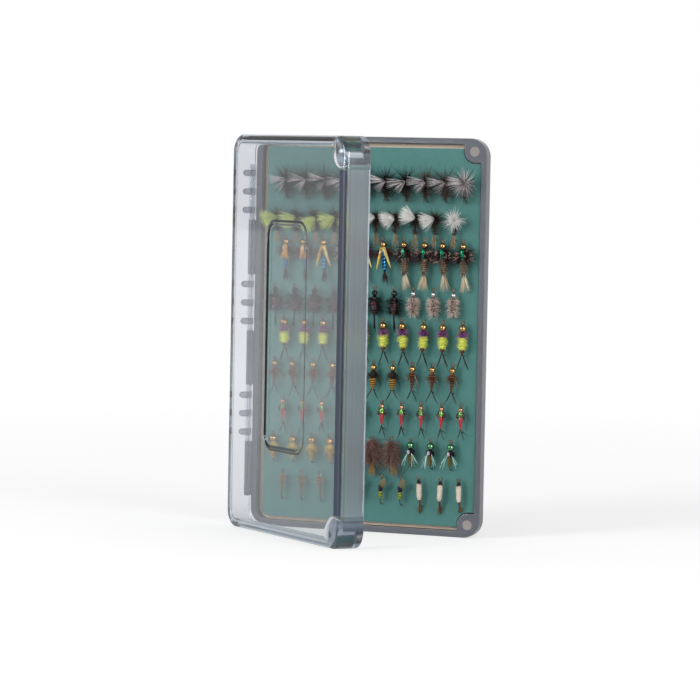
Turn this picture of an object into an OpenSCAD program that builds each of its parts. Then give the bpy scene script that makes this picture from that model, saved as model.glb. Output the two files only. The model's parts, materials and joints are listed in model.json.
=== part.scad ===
// Slim pocket fly box: a shallow tray with a slit silicone mat, and a deep clear lid on a side hinge.
// The case stands on its short end with the lid held partly open.
// Modules draw the case lying flat, with the rim plane at z = 0, and stand() turns it upright.

/* [Case] */
// Height of the case as it stands on its short end
case_h = 184; // [165:1:210]
// Width of the tray from the hinge wall to the free wall
case_w = 115; // [105:1:135]
// Depth of the tray behind the rim plane
tray_d = 6; // [5.6:0.1:9]
// Depth of the lid in front of the rim plane
lid_d = 13; // [11.5:0.5:18]
// Radius of the four outer corners
corner_r = 8.5; // [7:0.5:11]
// Thickness of the tray wall
tray_wall = 2.8; // [2.2:0.1:3.2]
// Thickness of the tray back
tray_back = 1.4; // [1:0.1:1.6]
// Rounding of the tray's back edge
tray_edge = 1.4; // [0.6:0.1:1.8]
// Thickness of the lid wall
lid_wall = 2.2; // [1.8:0.1:2.6]
// Thickness of the lid panel
lid_panel = 1.8; // [1.4:0.1:2.2]
// Rounding of the lid's outer edge
lid_edge = 2.4; // [1:0.1:3]
// Angle at which the lid stands open
open_angle = 39; // [10:1:120]
// Gap between the rims when the case is shut
rim_gap = 0.2; // [0.1:0.05:0.4]

/* [Label recess] */
// Width of the moulded recess in the lid panel
label_w = 37.5; // [25:0.5:45]
// Height of the recess
label_h = 103; // [70:1:115]
// Corner radius of the recess
label_r = 6; // [3:0.5:9]
// Depth of the step
label_step = 0.7; // [0.4:0.1:0.9]
// Width of the inner pad's shoulder around the recess
label_shoulder = 1.5; // [1:0.1:2.5]

/* [Hinge] */
// Length of the hinge barrel over all its knuckles
hinge_len = 156.6; // [120:0.2:158]
// Number of knuckles, lid and tray in turn from the top
knuckles = 6; // [4:2:8]
// Outer diameter of the barrel
barrel_d = 3.6; // [3.2:0.1:3.8]
// Distance from the tray wall to the hinge axis
hinge_offset = 2; // [2:0.1:2.6]
// Diameter of the hinge pin
pin_d = 1.6; // [1.2:0.1:1.9]
// Radial clearance of the pin in its bores
pin_gap = 0.05; // [0.03:0.01:0.09]
// Gap between neighbouring knuckles
knuckle_gap = 0.3; // [0.2:0.05:0.5]
// Reach of the gussets down the lid's hinge wall
gusset_reach = 5.6; // [4:0.1:7]
// Width of one gusset
gusset_w = 3; // [2:0.1:4]
// Spacing of the gussets on one knuckle
gusset_pitch = 8.7; // [6:0.1:9]
// Number of gussets on one lid knuckle
gussets = 3; // [1:1:3]

/* [Magnets] */
// Diameter of a closing magnet
magnet_d = 4.6; // [3.5:0.1:5.4]
// Thickness of a closing magnet
magnet_t = 2; // [1:0.1:2.4]
// Distance of a magnet's centre from the two outer faces beside it
magnet_inset = 6; // [5.6:0.1:7]
// Radial clearance of a magnet in its pocket
magnet_gap = 0.04; // [0.02:0.01:0.09]
// Radius of the tray's corner boss around the magnet
tray_boss_r = 5.2; // [4.2:0.1:6]
// Radius of the lid's corner boss around the magnet
lid_boss_r = 6.2; // [4.2:0.1:7]

/* [Mat] */
// Thickness of the tan backing sheet
backing_t = 0.6; // [0.3:0.1:0.8]
// Gap between the backing sheet and the tray wall
backing_gap = 0.2; // [0.1:0.05:0.4]
// Thickness of the silicone mat
mat_t = 3; // [2.5:0.1:3.4]
// Margin between the mat and the tray's end walls
mat_end_margin = 2; // [1:0.1:4]
// Margin between the mat and the hinge wall
mat_hinge_margin = 2.9; // [1:0.1:5]
// Margin between the mat and the free wall
mat_free_margin = 0.4; // [0.3:0.1:3]
// Corner radius of the mat
mat_r = 2.6; // [1:0.1:4]
// Gap between the mat and the tray's corner bosses
mat_boss_gap = 0.5; // [0.3:0.1:1]
// Length of a slit
slit_len = 6.6; // [6:0.1:8]
// Width of a slit, held open by the hook wire
slit_w = 0.7; // [0.6:0.05:1]
// Depth of a slit below the mat's face
slit_depth = 2.3; // [1.8:0.1:2.4]

/* [Hook places] */
// Distance from the mat's free edge to the first column
free_inset = 6.2; // [5.2:0.1:8]
// Distance from the mat's hinge edge to the last column
hinge_inset = 6.3; // [5.2:0.1:8]
// Distance from the mat's upper end to the hook bends of the first row
upper_inset = 22.4; // [21:0.1:26]
// Distance from the mat's lower end to the hook bends of the last row
lower_inset = 10.8; // [10.4:0.1:14]

/* [Hooks] */
// Diameter of the hook wire
wire_d = 0.46; // [0.3:0.02:0.5]
// Radius of the hook's eye at the middle of the wire
eye_r = 0.75; // [0.6:0.05:0.9]
// Height of the shank above the mat
shank_rise = 3.1; // [2.9:0.1:3.6]
// Radius of the hook's bend
bend_r = 2.25; // [2:0.05:2.4]
// Length of the hook's point beyond the bend
point_len = 3; // [2:0.1:3.5]
// Radial gap between the wire and what is tied or threaded on it
thread_gap = 0.06; // [0.02:0.01:0.1]

/* [Hidden] */
$fn = 48;
bite = 0.4;
rows = 9;
columns = 10;
// Head to bend on the shank in each row, from the top row down
shank_len = [7.5, 8, 14.4, 9.2, 12.2, 10, 9.4, 10.2, 10.2];
// Bead radius in each row, 0 where the pattern has no bead
bead_r = [0, 0, 1.65, 1.3, 1.8, 1.55, 1.2, 1.85, 0];
// Thorax radius of the tied body in each row
thorax_r = [0.9, 0.9, 1.7, 1.5, 1.6, 1.3, 1.05, 1.5, 1.1];
// Abdomen radius of the tied body in each row
abdomen_r = [0.7, 0.6, 1.25, 1.1, 1.45, 0.95, 0.75, 0.95, 1];
// Length of the two tails in each row, 0 where the pattern has none
tail_len = [4, 6, 4, 0, 6, 6, 4.5, 0, 3];
// Spread of each tail from the shank, in degrees
tail_spread = [8, 8, 14, 0, 18, 22, 14, 0, 6];
tail_r = 0.3;
tail_tip_r = 0.12;
tail_off = 0.62;
head_r = 0.75;
hackle_r = 4.2;
hackle_t = 1.3;
wing_len = 6.5;
wing_w = 3.2;
wing_t = 0.8;
tuft_len = 6.4;
tuft_w = 4.8;
tuft_t = 2;

inner_w = case_w - 2 * tray_wall;
inner_h = case_h - 2 * tray_wall;
inner_r = max(1, corner_r - tray_wall);
lid_inner_w = case_w - 2 * lid_wall;
lid_inner_h = case_h - 2 * lid_wall;
lid_inner_r = max(1, corner_r - lid_wall);
hinge_x = -case_w / 2 - hinge_offset;
knuckle_pitch = hinge_len / knuckles;
knuckle_len = knuckle_pitch - knuckle_gap;
pin_len = hinge_len - 1.2;
magnet_x = case_w / 2 - magnet_inset;
magnet_y = case_h / 2 - magnet_inset;
floor_z = tray_back - tray_d;
mat_z = floor_z + backing_t;
mat_top = mat_z + mat_t;
mat_w = inner_w - mat_hinge_margin - mat_free_margin;
mat_h = inner_h - 2 * mat_end_margin;
mat_x = (mat_hinge_margin - mat_free_margin) / 2;
shank_z = mat_top + shank_rise;
column_pitch = (mat_w - free_inset - hinge_inset) / (columns - 0.5);
row_pitch = (mat_h - upper_inset - lower_inset) / (rows - 1);
wire_r = wire_d / 2;
bore_r = wire_r + thread_gap;

// Places of the hooks: the bends sit in even rows of slits, staggered by half a column.
function column_x(row, column) =
    mat_x + mat_w / 2 - free_inset - column_pitch * (column + (row % 2) / 2);
function bend_y(row) = mat_h / 2 - upper_inset - row_pitch * row;
function head_y(row) = bend_y(row) + shank_len[row];
function knuckle_y(i) = hinge_len / 2 - knuckle_pitch * (i + 0.5);
function is_lid_knuckle(i) = i % 2 == 0;

// Turns what is drawn flat so that it stands on its lower end, with the rim towards -Y.
module stand() {
    translate([0, -tray_d / 2, case_h / 2]) rotate([90, 0, 0]) children();
}

// Swings what is drawn shut about the hinge axis to the standing angle.
module swing() {
    translate([hinge_x, 0, 0]) rotate([0, -open_angle, 0]) translate([-hinge_x, 0, 0]) children();
}

// Flat outline with round corners.
module round_rect(w, h, r) {
    square([w - 2 * r, h], center = true);
    square([w, h - 2 * r], center = true);
    for (sx = [-1, 1], sy = [-1, 1])
        translate([sx * (w / 2 - r), sy * (h / 2 - r)]) circle(r);
}

// One corner post of a shell: square at z = 0, rounded by e at the far face d.
module corner_post(d, r, e) {
    rotate_extrude($fn = 32) {
        square([r - e, d]);
        square([r, d - e]);
        translate([r - e, d - e]) circle(e, $fn = 32);
    }
}

// Solid shell blank with round corners and a rounded far edge.
module shell_blank(w, h, d, r, e) {
    hull()
        for (sx = [-1, 1], sy = [-1, 1])
            translate([sx * (w / 2 - r), sy * (h / 2 - r), 0]) corner_post(d, r, e);
}

// Footprint of the two magnet bosses, grown by g, filled out to the corner.
module boss_outline(r, g) {
    reach = magnet_inset;
    for (sy = [-1, 1])
        translate([magnet_x, sy * magnet_y]) {
            circle(r + g);
            translate([-r - g, sy > 0 ? 0 : -reach]) square([r + g + reach, reach]);
            translate([0, sy > 0 ? -r - g : 0]) square([reach, r + g]);
            translate([0, sy > 0 ? 0 : -reach]) square([reach, reach]);
        }
}

module magnet_places() {
    for (sy = [-1, 1]) translate([magnet_x, sy * magnet_y, 0]) children();
}

// Barrel piece i, with the solid web that joins it to the wall on one side of the rim plane.
module knuckle(i, web_z0, web_z1) {
    translate([hinge_x, knuckle_y(i), 0]) {
        rotate([90, 0, 0]) cylinder(d = barrel_d, h = knuckle_len, center = true);
        translate([0, -knuckle_len / 2, web_z0])
            cube([hinge_offset + bite, knuckle_len, web_z1 - web_z0]);
    }
}

// Round-ended ribs that tie a lid knuckle to the outside of the hinge wall.
module knuckle_gussets(i) {
    rib_t = barrel_d / 2;
    for (j = [0 : gussets - 1])
        translate([hinge_x + hinge_offset - rib_t, knuckle_y(i) + gusset_pitch * (j - (gussets - 1) / 2), 0]) {
            translate([0, -gusset_w / 2, rim_gap])
                cube([rib_t + bite, gusset_w, gusset_reach - gusset_w / 2 - rim_gap]);
            translate([0, 0, gusset_reach - gusset_w / 2])
                rotate([0, 90, 0]) cylinder(d = gusset_w, h = rib_t + bite);
        }
}

module pin_bore(g) {
    translate([hinge_x, 0, 0])
        rotate([90, 0, 0]) cylinder(r = pin_d / 2 + g, h = hinge_len + 2, center = true);
}

module tray() {
    color([0.52, 0.56, 0.6, 0.8]) stand() difference() {
        union() {
            mirror([0, 0, 1]) shell_blank(case_w, case_h, tray_d, corner_r, tray_edge);
            for (i = [0 : knuckles - 1])
                if (!is_lid_knuckle(i)) knuckle(i, -barrel_d / 2, 0);
        }
        translate([0, 0, floor_z]) linear_extrude(tray_d) difference() {
            round_rect(inner_w, inner_h, inner_r);
            boss_outline(tray_boss_r, 0);
        }
        magnet_places() translate([0, 0, -magnet_t - magnet_gap])
            cylinder(r = magnet_d / 2 + magnet_gap, h = magnet_t + 1);
        pin_bore(pin_gap);
    }
}

module mat_backing() {
    color([0.74, 0.63, 0.56]) stand() translate([0, 0, floor_z]) linear_extrude(backing_t) difference() {
        round_rect(inner_w - 2 * backing_gap, inner_h - 2 * backing_gap, inner_r - backing_gap);
        boss_outline(tray_boss_r, backing_gap);
    }
}

module silicone_mat() {
    color([0.32, 0.51, 0.5]) stand() difference() {
        translate([0, 0, mat_z]) linear_extrude(mat_t) difference() {
            translate([mat_x, 0]) round_rect(mat_w, mat_h, mat_r);
            boss_outline(tray_boss_r, mat_boss_gap);
        }
        for (row = [0 : rows - 1], column = [0 : columns - 1])
            translate([column_x(row, column), bend_y(row), mat_top - slit_depth])
                translate([-slit_w / 2, -bend_r - bite, 0]) cube([slit_w, slit_len, mat_t]);
    }
}

module tray_magnet(side) {
    color([0.78, 0.78, 0.78]) stand()
        translate([magnet_x, side * magnet_y, -magnet_t]) cylinder(d = magnet_d, h = magnet_t);
}

module hinge_pin() {
    color([0.8, 0.83, 0.87]) stand() translate([hinge_x, 0, 0])
        rotate([90, 0, 0]) cylinder(d = pin_d, h = pin_len, center = true);
}

module lid() {
    color([0.82, 0.86, 0.9, 0.4]) stand() swing() difference() {
        union() {
            translate([0, 0, rim_gap]) shell_blank(case_w, case_h, lid_d - rim_gap, corner_r, lid_edge);
            for (i = [0 : knuckles - 1])
                if (is_lid_knuckle(i)) {
                    knuckle(i, rim_gap, barrel_d / 2);
                    knuckle_gussets(i);
                }
        }
        translate([0, 0, rim_gap - 1]) linear_extrude(lid_d - lid_panel - label_step + 1 - rim_gap)
            difference() {
                round_rect(lid_inner_w, lid_inner_h, lid_inner_r);
                boss_outline(lid_boss_r, 0);
            }
        translate([0, 0, lid_d - lid_panel - label_step - bite]) linear_extrude(label_step + bite)
            difference() {
                round_rect(lid_inner_w, lid_inner_h, lid_inner_r);
                boss_outline(lid_boss_r, 0);
                round_rect(label_w + 2 * label_shoulder, label_h + 2 * label_shoulder,
                    label_r + label_shoulder);
            }
        translate([0, 0, lid_d - label_step]) linear_extrude(label_step + 1)
            round_rect(label_w, label_h, label_r);
        magnet_places() translate([0, 0, rim_gap - 1])
            cylinder(r = magnet_d / 2 + magnet_gap, h = magnet_t + magnet_gap + 1);
        pin_bore(pin_gap);
    }
}

module lid_magnet(side) {
    color([0.78, 0.78, 0.78]) stand() swing()
        translate([magnet_x, side * magnet_y, rim_gap]) cylinder(d = magnet_d, h = magnet_t);
}

// Places a fly pattern at every head of a row: y runs towards the head, z away from the mat.
module fly_places(row) {
    for (column = [0 : columns - 1])
        translate([column_x(row, column), head_y(row), shank_z]) children();
}

// Eye, shank, round bend and the point that lies in the slit.
module hook(length) {
    eye_y = eye_r + wire_r;
    translate([0, eye_y, 0]) rotate_extrude($fn = 32) translate([eye_r, 0]) circle(wire_r, $fn = 16);
    rotate([90, 0, 0]) translate([0, 0, -wire_r]) cylinder(r = wire_r, h = length + wire_r, $fn = 16);
    translate([0, -length, -bend_r]) rotate([0, -90, 180])
        rotate_extrude(angle = 180, $fn = 32) translate([bend_r, 0]) circle(wire_r, $fn = 16);
    translate([0, -length, -2 * bend_r]) rotate([-90, 0, 0])
        cylinder(r1 = wire_r, r2 = wire_r / 3, h = point_len, $fn = 16);
}

module hooks(row) {
    color([0.3, 0.26, 0.2]) stand() fly_places(row) hook(shank_len[row]);
}

// Tied body: head, thorax and abdomen as one turned form on the shank, with two tails.
module tied_body(row) {
    bead_end = bead_r[row] > 0 ? 2 * bead_r[row] : 0;
    body_len = shank_len[row] - bead_end - 0.3;
    front = bead_r[row] > 0 ? thorax_r[row] * 0.8 : head_r;
    thorax = thorax_r[row];
    abdomen = abdomen_r[row];
    translate([0, -bead_end - 0.05, 0]) rotate([90, 0, 0]) difference() {
        union() {
            rotate_extrude($fn = 32) polygon([
                [0, 0], [front, 0.1], [thorax, body_len * 0.18], [thorax, body_len * 0.34],
                [abdomen, body_len * 0.5], [abdomen * 0.9, body_len * 0.8], [tail_off, body_len], [0, body_len]
            ]);
            if (tail_len[row] > 0)
                for (s = [-1, 1])
                    translate([s * tail_off, 0, body_len - bite]) rotate([0, s * tail_spread[row], 0])
                        cylinder(r1 = tail_r, r2 = tail_tip_r, h = tail_len[row] + bite, $fn = 16);
        }
        translate([0, 0, -1]) cylinder(r = bore_r, h = shank_len[row] + 12, $fn = 24);
    }
}

module bodies(row, shade) {
    color(shade) stand() fly_places(row) tied_body(row);
}

// Drilled metal bead behind the eye.
module beads(row, shade) {
    color(shade) stand() fly_places(row) translate([0, -bead_r[row], 0]) difference() {
        sphere(bead_r[row]);
        rotate([90, 0, 0]) cylinder(r = bore_r, h = 4 * bead_r[row], center = true, $fn = 24);
    }
}

// Collar of stiff hackle around the shank, resting just above the mat.
module hackles(row, shade) {
    body_r = thorax_r[row] + thread_gap;
    color(shade) stand() fly_places(row) intersection() {
        translate([0, -1.9, 0]) rotate([90, 0, 0]) difference() {
            cylinder(r1 = hackle_r, r2 = hackle_r * 0.85, h = hackle_t, center = true);
            cylinder(r = body_r, h = 4 * hackle_t, center = true);
        }
        translate([-10, -10, 0.3 - shank_rise]) cube([20, 20, 20]);
    }
}

module wing_blade() {
    linear_extrude(wing_t) polygon([
        [0, -0.5], [-wing_len * 0.5, -wing_w * 0.5], [-wing_len, -wing_w * 0.35],
        [-wing_len, wing_w * 0.35], [-wing_len * 0.5, wing_w * 0.3], [0, 0.5]
    ]);
}

// Pale wing laid back from the head of each first-row fly, clear of its hackle.
module wings() {
    wing_z = hackle_r * 0.2 + thorax_r[0];
    color([0.66, 0.65, 0.66]) stand() fly_places(0)
        translate([-thorax_r[0] - 0.1, -2.9 - hackle_t / 2, wing_z - 1]) rotate([0, 0, 28]) wing_blade();
}

// Upright tuft of white or bright yarn at the head of each second-row fly.
module tufts() {
    color([0.86, 0.86, 0.84]) stand() fly_places(1)
        translate([0, 0.9 + tuft_t, 0.3]) rotate([0, 0, 90]) rotate([0, -35, 0])
            linear_extrude(tuft_t, center = true) polygon([
                [0, -0.6], [tuft_len * 0.7, -tuft_w / 2], [tuft_len, -tuft_w * 0.3],
                [tuft_len, tuft_w * 0.3], [tuft_len * 0.7, tuft_w / 2], [0, 0.6]
            ]);
}

gold = [0.78, 0.6, 0.3];
tray();
mat_backing();
silicone_mat();
tray_magnet(1);  // tray_magnet_upper
tray_magnet(-1);  // tray_magnet_lower
hinge_pin();
lid();
lid_magnet(1);  // lid_magnet_upper
lid_magnet(-1);  // lid_magnet_lower
hooks(0);  // hooks_row_1
hooks(1);  // hooks_row_2
hooks(2);  // hooks_row_3
hooks(3);  // hooks_row_4
hooks(4);  // hooks_row_5
hooks(5);  // hooks_row_6
hooks(6);  // hooks_row_7
hooks(7);  // hooks_row_8
hooks(8);  // hooks_row_9
bodies(0, [0.25, 0.2, 0.18]);  // bodies_row_1
bodies(1, [0.24, 0.17, 0.13]);  // bodies_row_2
bodies(2, [0.3, 0.25, 0.2]);  // bodies_row_3
bodies(3, [0.36, 0.31, 0.28]);  // bodies_row_4
bodies(4, [0.68, 0.72, 0.25]);  // bodies_row_5
bodies(5, [0.36, 0.22, 0.12]);  // bodies_row_6
bodies(6, [0.68, 0.13, 0.12]);  // bodies_row_7
bodies(7, [0.3, 0.3, 0.14]);  // bodies_row_8
bodies(8, [0.8, 0.74, 0.62]);  // bodies_row_9
beads(2, gold);  // beads_row_3
beads(3, [0.75, 0.75, 0.76]);  // beads_row_4
beads(4, gold);  // beads_row_5
beads(5, gold);  // beads_row_6
beads(6, [0.76, 0.48, 0.32]);  // beads_row_7
beads(7, [0.06, 0.4, 0.22]);  // beads_row_8
hackles(0, [0.24, 0.2, 0.18]);  // hackles_row_1
hackles(1, [0.3, 0.24, 0.18]);  // hackles_row_2
wings();  // wings_row_1
tufts();  // tufts_row_2
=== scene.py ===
"""Looks of a slim fly box: a smoke-grey tray with a slit silicone mat and ninety tied flies, under a
deep clear lid that stands open on its side hinge. The stage is laid out in metres, and the box in
millimetres that turn into metres where a mesh or a material is made."""
import json
import math

import bpy
import numpy as np
from mathutils import Matrix, Vector


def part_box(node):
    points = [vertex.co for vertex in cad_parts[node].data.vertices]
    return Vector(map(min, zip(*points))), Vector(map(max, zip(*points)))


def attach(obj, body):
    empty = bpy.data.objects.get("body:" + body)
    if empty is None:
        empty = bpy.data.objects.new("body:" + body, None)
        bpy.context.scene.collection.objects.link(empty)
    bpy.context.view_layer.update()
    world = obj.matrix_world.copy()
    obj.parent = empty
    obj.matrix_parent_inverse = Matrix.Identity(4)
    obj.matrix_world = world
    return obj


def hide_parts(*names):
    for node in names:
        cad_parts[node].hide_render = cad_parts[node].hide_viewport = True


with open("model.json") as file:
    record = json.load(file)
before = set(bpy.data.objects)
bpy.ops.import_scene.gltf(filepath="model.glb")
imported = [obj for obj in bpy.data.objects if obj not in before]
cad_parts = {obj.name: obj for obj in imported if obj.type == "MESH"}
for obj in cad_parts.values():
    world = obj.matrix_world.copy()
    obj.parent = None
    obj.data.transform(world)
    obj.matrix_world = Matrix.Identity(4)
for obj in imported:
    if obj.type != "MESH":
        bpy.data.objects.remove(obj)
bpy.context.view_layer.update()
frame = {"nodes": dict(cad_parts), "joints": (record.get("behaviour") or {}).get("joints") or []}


# Camera. The box is seen from 1.7 m away through a long lens, level with its top and from the free
# side, so the open lid shows nearly edge on and the tray shows beside it.
camera_place = np.array([0.66675, -1.5674, 0.17865])
camera_turn = 0.4077
camera_dip = 0.0552
camera_roll = 0.0195
camera_lens_mm = 188.17

forward = np.array([-math.sin(camera_turn) * math.cos(camera_dip),
                    math.cos(camera_turn) * math.cos(camera_dip),
                    -math.sin(camera_dip)])
level_right = np.array([math.cos(camera_turn), math.sin(camera_turn), 0.0])
level_up = np.cross(level_right, forward)
right = math.cos(camera_roll) * level_right + math.sin(camera_roll) * level_up
upward = math.cos(camera_roll) * level_up - math.sin(camera_roll) * level_right

camera = bpy.data.objects.new("camera", bpy.data.cameras.new("camera"))
bpy.context.collection.objects.link(camera)
camera.matrix_world = Matrix([[*row, place] for row, place in
                              zip(np.stack([right, upward, -forward], axis=1), camera_place)]
                             + [[0, 0, 0, 1]])
camera.data.lens = camera_lens_mm
camera.data.sensor_width = 36.0
camera.data.clip_end = 20.0
bpy.context.scene.camera = camera
bpy.context.scene.view_settings.view_transform = "Standard"


# Stage and light. A pale floor runs out to a white surround, as on a studio table. Two soft boxes
# stand in front, the left one stronger. Two low cards that only glossy surfaces see give each metal
# bead its pair of small highlights, and the soft boxes stay out of the gloss.
floor_half = 6.0
floor_shade = 0.62
floor_lift_near = 0.53
floor_lift_far = 0.71
surround_level = 0.50
surround_front = 0.38
lamp_size = 0.45
glint_size = 0.66
floor_flag = 0.6
floor_near, floor_far = 0.20, 1.20
flag_from, flag_to = 0.1, -0.3
dim_from, dim_to = -0.20, 0.80
lamp_aim = Vector((0.0, 0.0, 0.09))
lamps = {"lamp_left": ((-0.62, -1.15, 0.55), 7.8),
         "lamp_right": ((1.22, -0.62, 0.55), 5.2)}
glints = {"glint_left": ((-1.14, -0.98, 0.42), 18.0),
          "glint_right": ((1.14, -0.98, 0.42), 18.0)}


def wired(tree, kind, given=(), output=0, **settings):
    """One output of a new shader node. given maps its input sockets to plain values or to the outputs of
    other nodes, and settings are the node's own."""
    node = tree.nodes.new("ShaderNode" + kind)
    for setting, value in settings.items():
        setattr(node, setting, value)
    for socket, value in dict(given).items():
        if isinstance(value, bpy.types.NodeSocket):
            tree.links.new(value, node.inputs[socket])
        else:
            node.inputs[socket].default_value = value if np.isscalar(value) else tuple(value)
    return node.outputs[output]


def joined(tree, operation, first, second):
    """Two values joined by an operation of maths."""
    return wired(tree, "Math", {0: first, 1: second}, operation=operation)


def product(tree, first, *others):
    """Several values multiplied."""
    for other in others:
        first = joined(tree, "MULTIPLY", first, other)
    return first


def remapped(tree, value, start, stop, low=0.0, high=1.0):
    """A value carried from the span start to stop over to the span low to high, and held at its ends."""
    return wired(tree, "MapRange", {"Value": value, "From Min": start, "From Max": stop,
                                    "To Min": low, "To Max": high})


def ray(tree, kind):
    """1 for a ray of this kind, else 0."""
    return wired(tree, "LightPath", output=f"Is {kind} Ray")


def object_place(tree):
    """The place of a shaded point in the object's own space."""
    return wired(tree, "TexCoord", output="Object")


def seen_directly(tree):
    """1 for a camera, mirror or see-through ray and 0 for a ray of scattered light."""
    return joined(tree, "MAXIMUM", joined(tree, "MAXIMUM", ray(tree, "Camera"), ray(tree, "Glossy")),
                  ray(tree, "Transmission"))


def surround_light():
    """White to the camera, dim towards the front where mirrors see it, and a plain level for soft light."""
    world = bpy.data.worlds.new("surround")
    bpy.context.scene.world = world
    world.use_nodes = True
    tree = world.node_tree
    back = wired(tree, "SeparateXYZ", {0: wired(tree, "TexCoord", output="Generated")}, output="Y")
    mirrored = remapped(tree, back, dim_from, dim_to, surround_front)
    white = joined(tree, "MAXIMUM", mirrored, ray(tree, "Camera"))
    strength = wired(tree, "Mix", {"Factor": seen_directly(tree), "A": surround_level, "B": white},
                     output="Result")
    background = tree.nodes["Background"]
    background.inputs["Color"].default_value = (1.0, 1.0, 1.0, 1.0)
    tree.links.new(strength, background.inputs["Strength"])


def floor_material():
    """Matt pale table top, lifted to white where it is seen directly, and more so far off where the lamps
    fade, so only its shadows show. Mirrors see its front part darker, as under a black flag."""
    material = bpy.data.materials.new("table_top")
    material.use_nodes = True
    tree = material.node_tree
    tree.nodes.clear()
    matt = wired(tree, "BsdfDiffuse", {"Color": (floor_shade, floor_shade, floor_shade, 1.0)})
    reach = wired(tree, "VectorMath", {0: object_place(tree)}, output="Value", operation="LENGTH")
    rise = remapped(tree, reach, floor_near, floor_far, floor_lift_near, floor_lift_far)
    lift = wired(tree, "Emission", {"Strength": product(tree, seen_directly(tree), rise)})
    both = wired(tree, "AddShader", {0: matt, 1: lift})
    back = wired(tree, "SeparateXYZ", {0: object_place(tree)}, output="Y")
    flagged = product(tree, ray(tree, "Glossy"), remapped(tree, back, flag_from, flag_to, 0.0, floor_flag))
    dark = wired(tree, "Emission", {"Strength": 0.0})
    mix = wired(tree, "MixShader", {0: flagged, 1: both, 2: dark})
    tree.links.new(mix, tree.nodes.new("ShaderNodeOutputMaterial").inputs["Surface"])
    return material


def soft_lamp(name, place, power, size, glossy):
    """A square soft box at place, turned towards the middle of the case. Only glossy rays see it, or only
    the others do."""
    lamp = bpy.data.lights.new(name, "AREA")
    lamp.shape = "SQUARE"
    lamp.size = size
    lamp.energy = power
    stand = bpy.data.objects.new(name, lamp)
    bpy.context.collection.objects.link(stand)
    stand.location = place
    stand.visible_glossy = glossy
    stand.visible_diffuse = not glossy
    stand.visible_transmission = not glossy
    stand.rotation_euler = (lamp_aim - Vector(place)).to_track_quat("-Z", "Y").to_euler()


def mesh_object(name, points, faces, tint=None, smooth=True):
    """A new object from an array of points in metres and blocks of corner numbers, one block for each
    count of corners. tint is a linear colour for each point, kept as the attribute "tint"."""
    mesh = bpy.data.meshes.new(name)
    corners = [corner for block in faces for corner in block.tolist()]
    mesh.from_pydata(points, [], corners)
    if smooth:
        mesh.shade_smooth()
    if tint is not None:
        colours = np.ones((len(points), 4), np.float32)
        colours[:, :3] = tint
        attribute = mesh.color_attributes.new("tint", "FLOAT_COLOR", "POINT")
        attribute.data.foreach_set("color", colours.ravel())
    mesh.validate()
    piece = bpy.data.objects.new(name, mesh)
    bpy.context.collection.objects.link(piece)
    return piece


surround_light()
for lamp_name, (lamp_place, lamp_power) in lamps.items():
    soft_lamp(lamp_name, lamp_place, lamp_power, lamp_size, glossy=False)
for lamp_name, (lamp_place, lamp_power) in glints.items():
    soft_lamp(lamp_name, lamp_place, lamp_power, glint_size, glossy=True)
floor = mesh_object("floor", floor_half * np.array([[-1, -1, 0], [1, -1, 0], [1, 1, 0], [-1, 1, 0]]),
                    [np.array([[0, 1, 2, 3]])])
floor.data.materials.append(floor_material())


# Tray. One moulding in smoke-grey plastic: a flat back with a rounded edge, a low wall, two corner
# bosses for the magnets, and three hinge knuckles, each joined to the hinge wall by a solid web.
tray_low, tray_high = (np.array(corner) * 1000 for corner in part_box("tray"))
magnet_low, magnet_high = (np.array(corner) * 1000 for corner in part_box("tray_magnet_upper"))
pin_low, pin_high = (np.array(corner) * 1000 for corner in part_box("hinge_pin"))
hinge = frame["joints"][0]
hinge_x, rim_y, middle_z = np.array(hinge["pos_m"]) * 1000
open_angle = math.radians(-hinge["range_deg"][0])
case_w = 2 * tray_high[0]
case_h = tray_high[2] - tray_low[2]
tray_d = tray_high[1] - rim_y
corner_r = 8.5
tray_wall = 2.8
tray_back = 1.4
tray_edge = 1.4
tray_boss_r = 5.2
boss_fillet = 0.6
rim_ease = 0.3
magnet_sink = 0.04
magnet_x = (magnet_low[0] + magnet_high[0]) / 2
magnet_y = (magnet_low[2] + magnet_high[2]) / 2 - middle_z
hinge_offset = -case_w / 2 - hinge_x
knuckles = 6
knuckle_gap = 0.3
barrel_r = 1.8
barrel_bore_r = 0.85
barrel_chamfer = 0.2
web_start = 1.2
bite = 0.4
pin_end_gap = 0.6
knuckle_pitch = (pin_high[2] - pin_low[2] + 2 * pin_end_gap) / knuckles
corner_points = 24
crease = math.radians(35)
grain_detail = 4.0


def arc(centre_x, centre_y, radius, start, stop, count=corner_points):
    """Points of an arc: the centre plus radius times (cos, sin) of a turn from start to stop, in degrees."""
    turn = np.radians(np.linspace(start, stop, count))
    return np.stack([centre_x + radius * np.cos(turn), centre_y + radius * np.sin(turn)], axis=1)


def outline(width, height, radius, boss_r=None):
    """Round-cornered rectangle, anticlockwise from its right side and mirrored about y = 0. With boss_r,
    each right-hand corner runs instead round a magnet boss: a fillet, a quarter turn back about the
    magnet's centre, and a second fillet."""
    half_w, half_h = width / 2, height / 2
    if boss_r is None:
        right_corner = arc(half_w - radius, half_h - radius, radius, 0, 90)
    else:
        right_corner = np.concatenate([
            arc(half_w - boss_fillet, magnet_y - boss_r - boss_fillet, boss_fillet, 0, 90, 6),
            arc(magnet_x, magnet_y, boss_r, 270, 180, corner_points - 12),
            arc(magnet_x - boss_r - boss_fillet, half_h - boss_fillet, boss_fillet, 0, 90, 6)])
    upper = np.concatenate([right_corner, arc(radius - half_w, half_h - radius, radius, 90, 180)])
    return np.concatenate([upper, (upper * [1, -1])[::-1]])


def case_ring(inset, depth, boss_r=None):
    """Outline of the case drawn in by inset, at a depth from the rim plane."""
    flat = outline(case_w - 2 * inset, case_h - 2 * inset, max(corner_r - inset, 0.8), boss_r)
    return np.column_stack([flat, np.full(len(flat), depth)])


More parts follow.
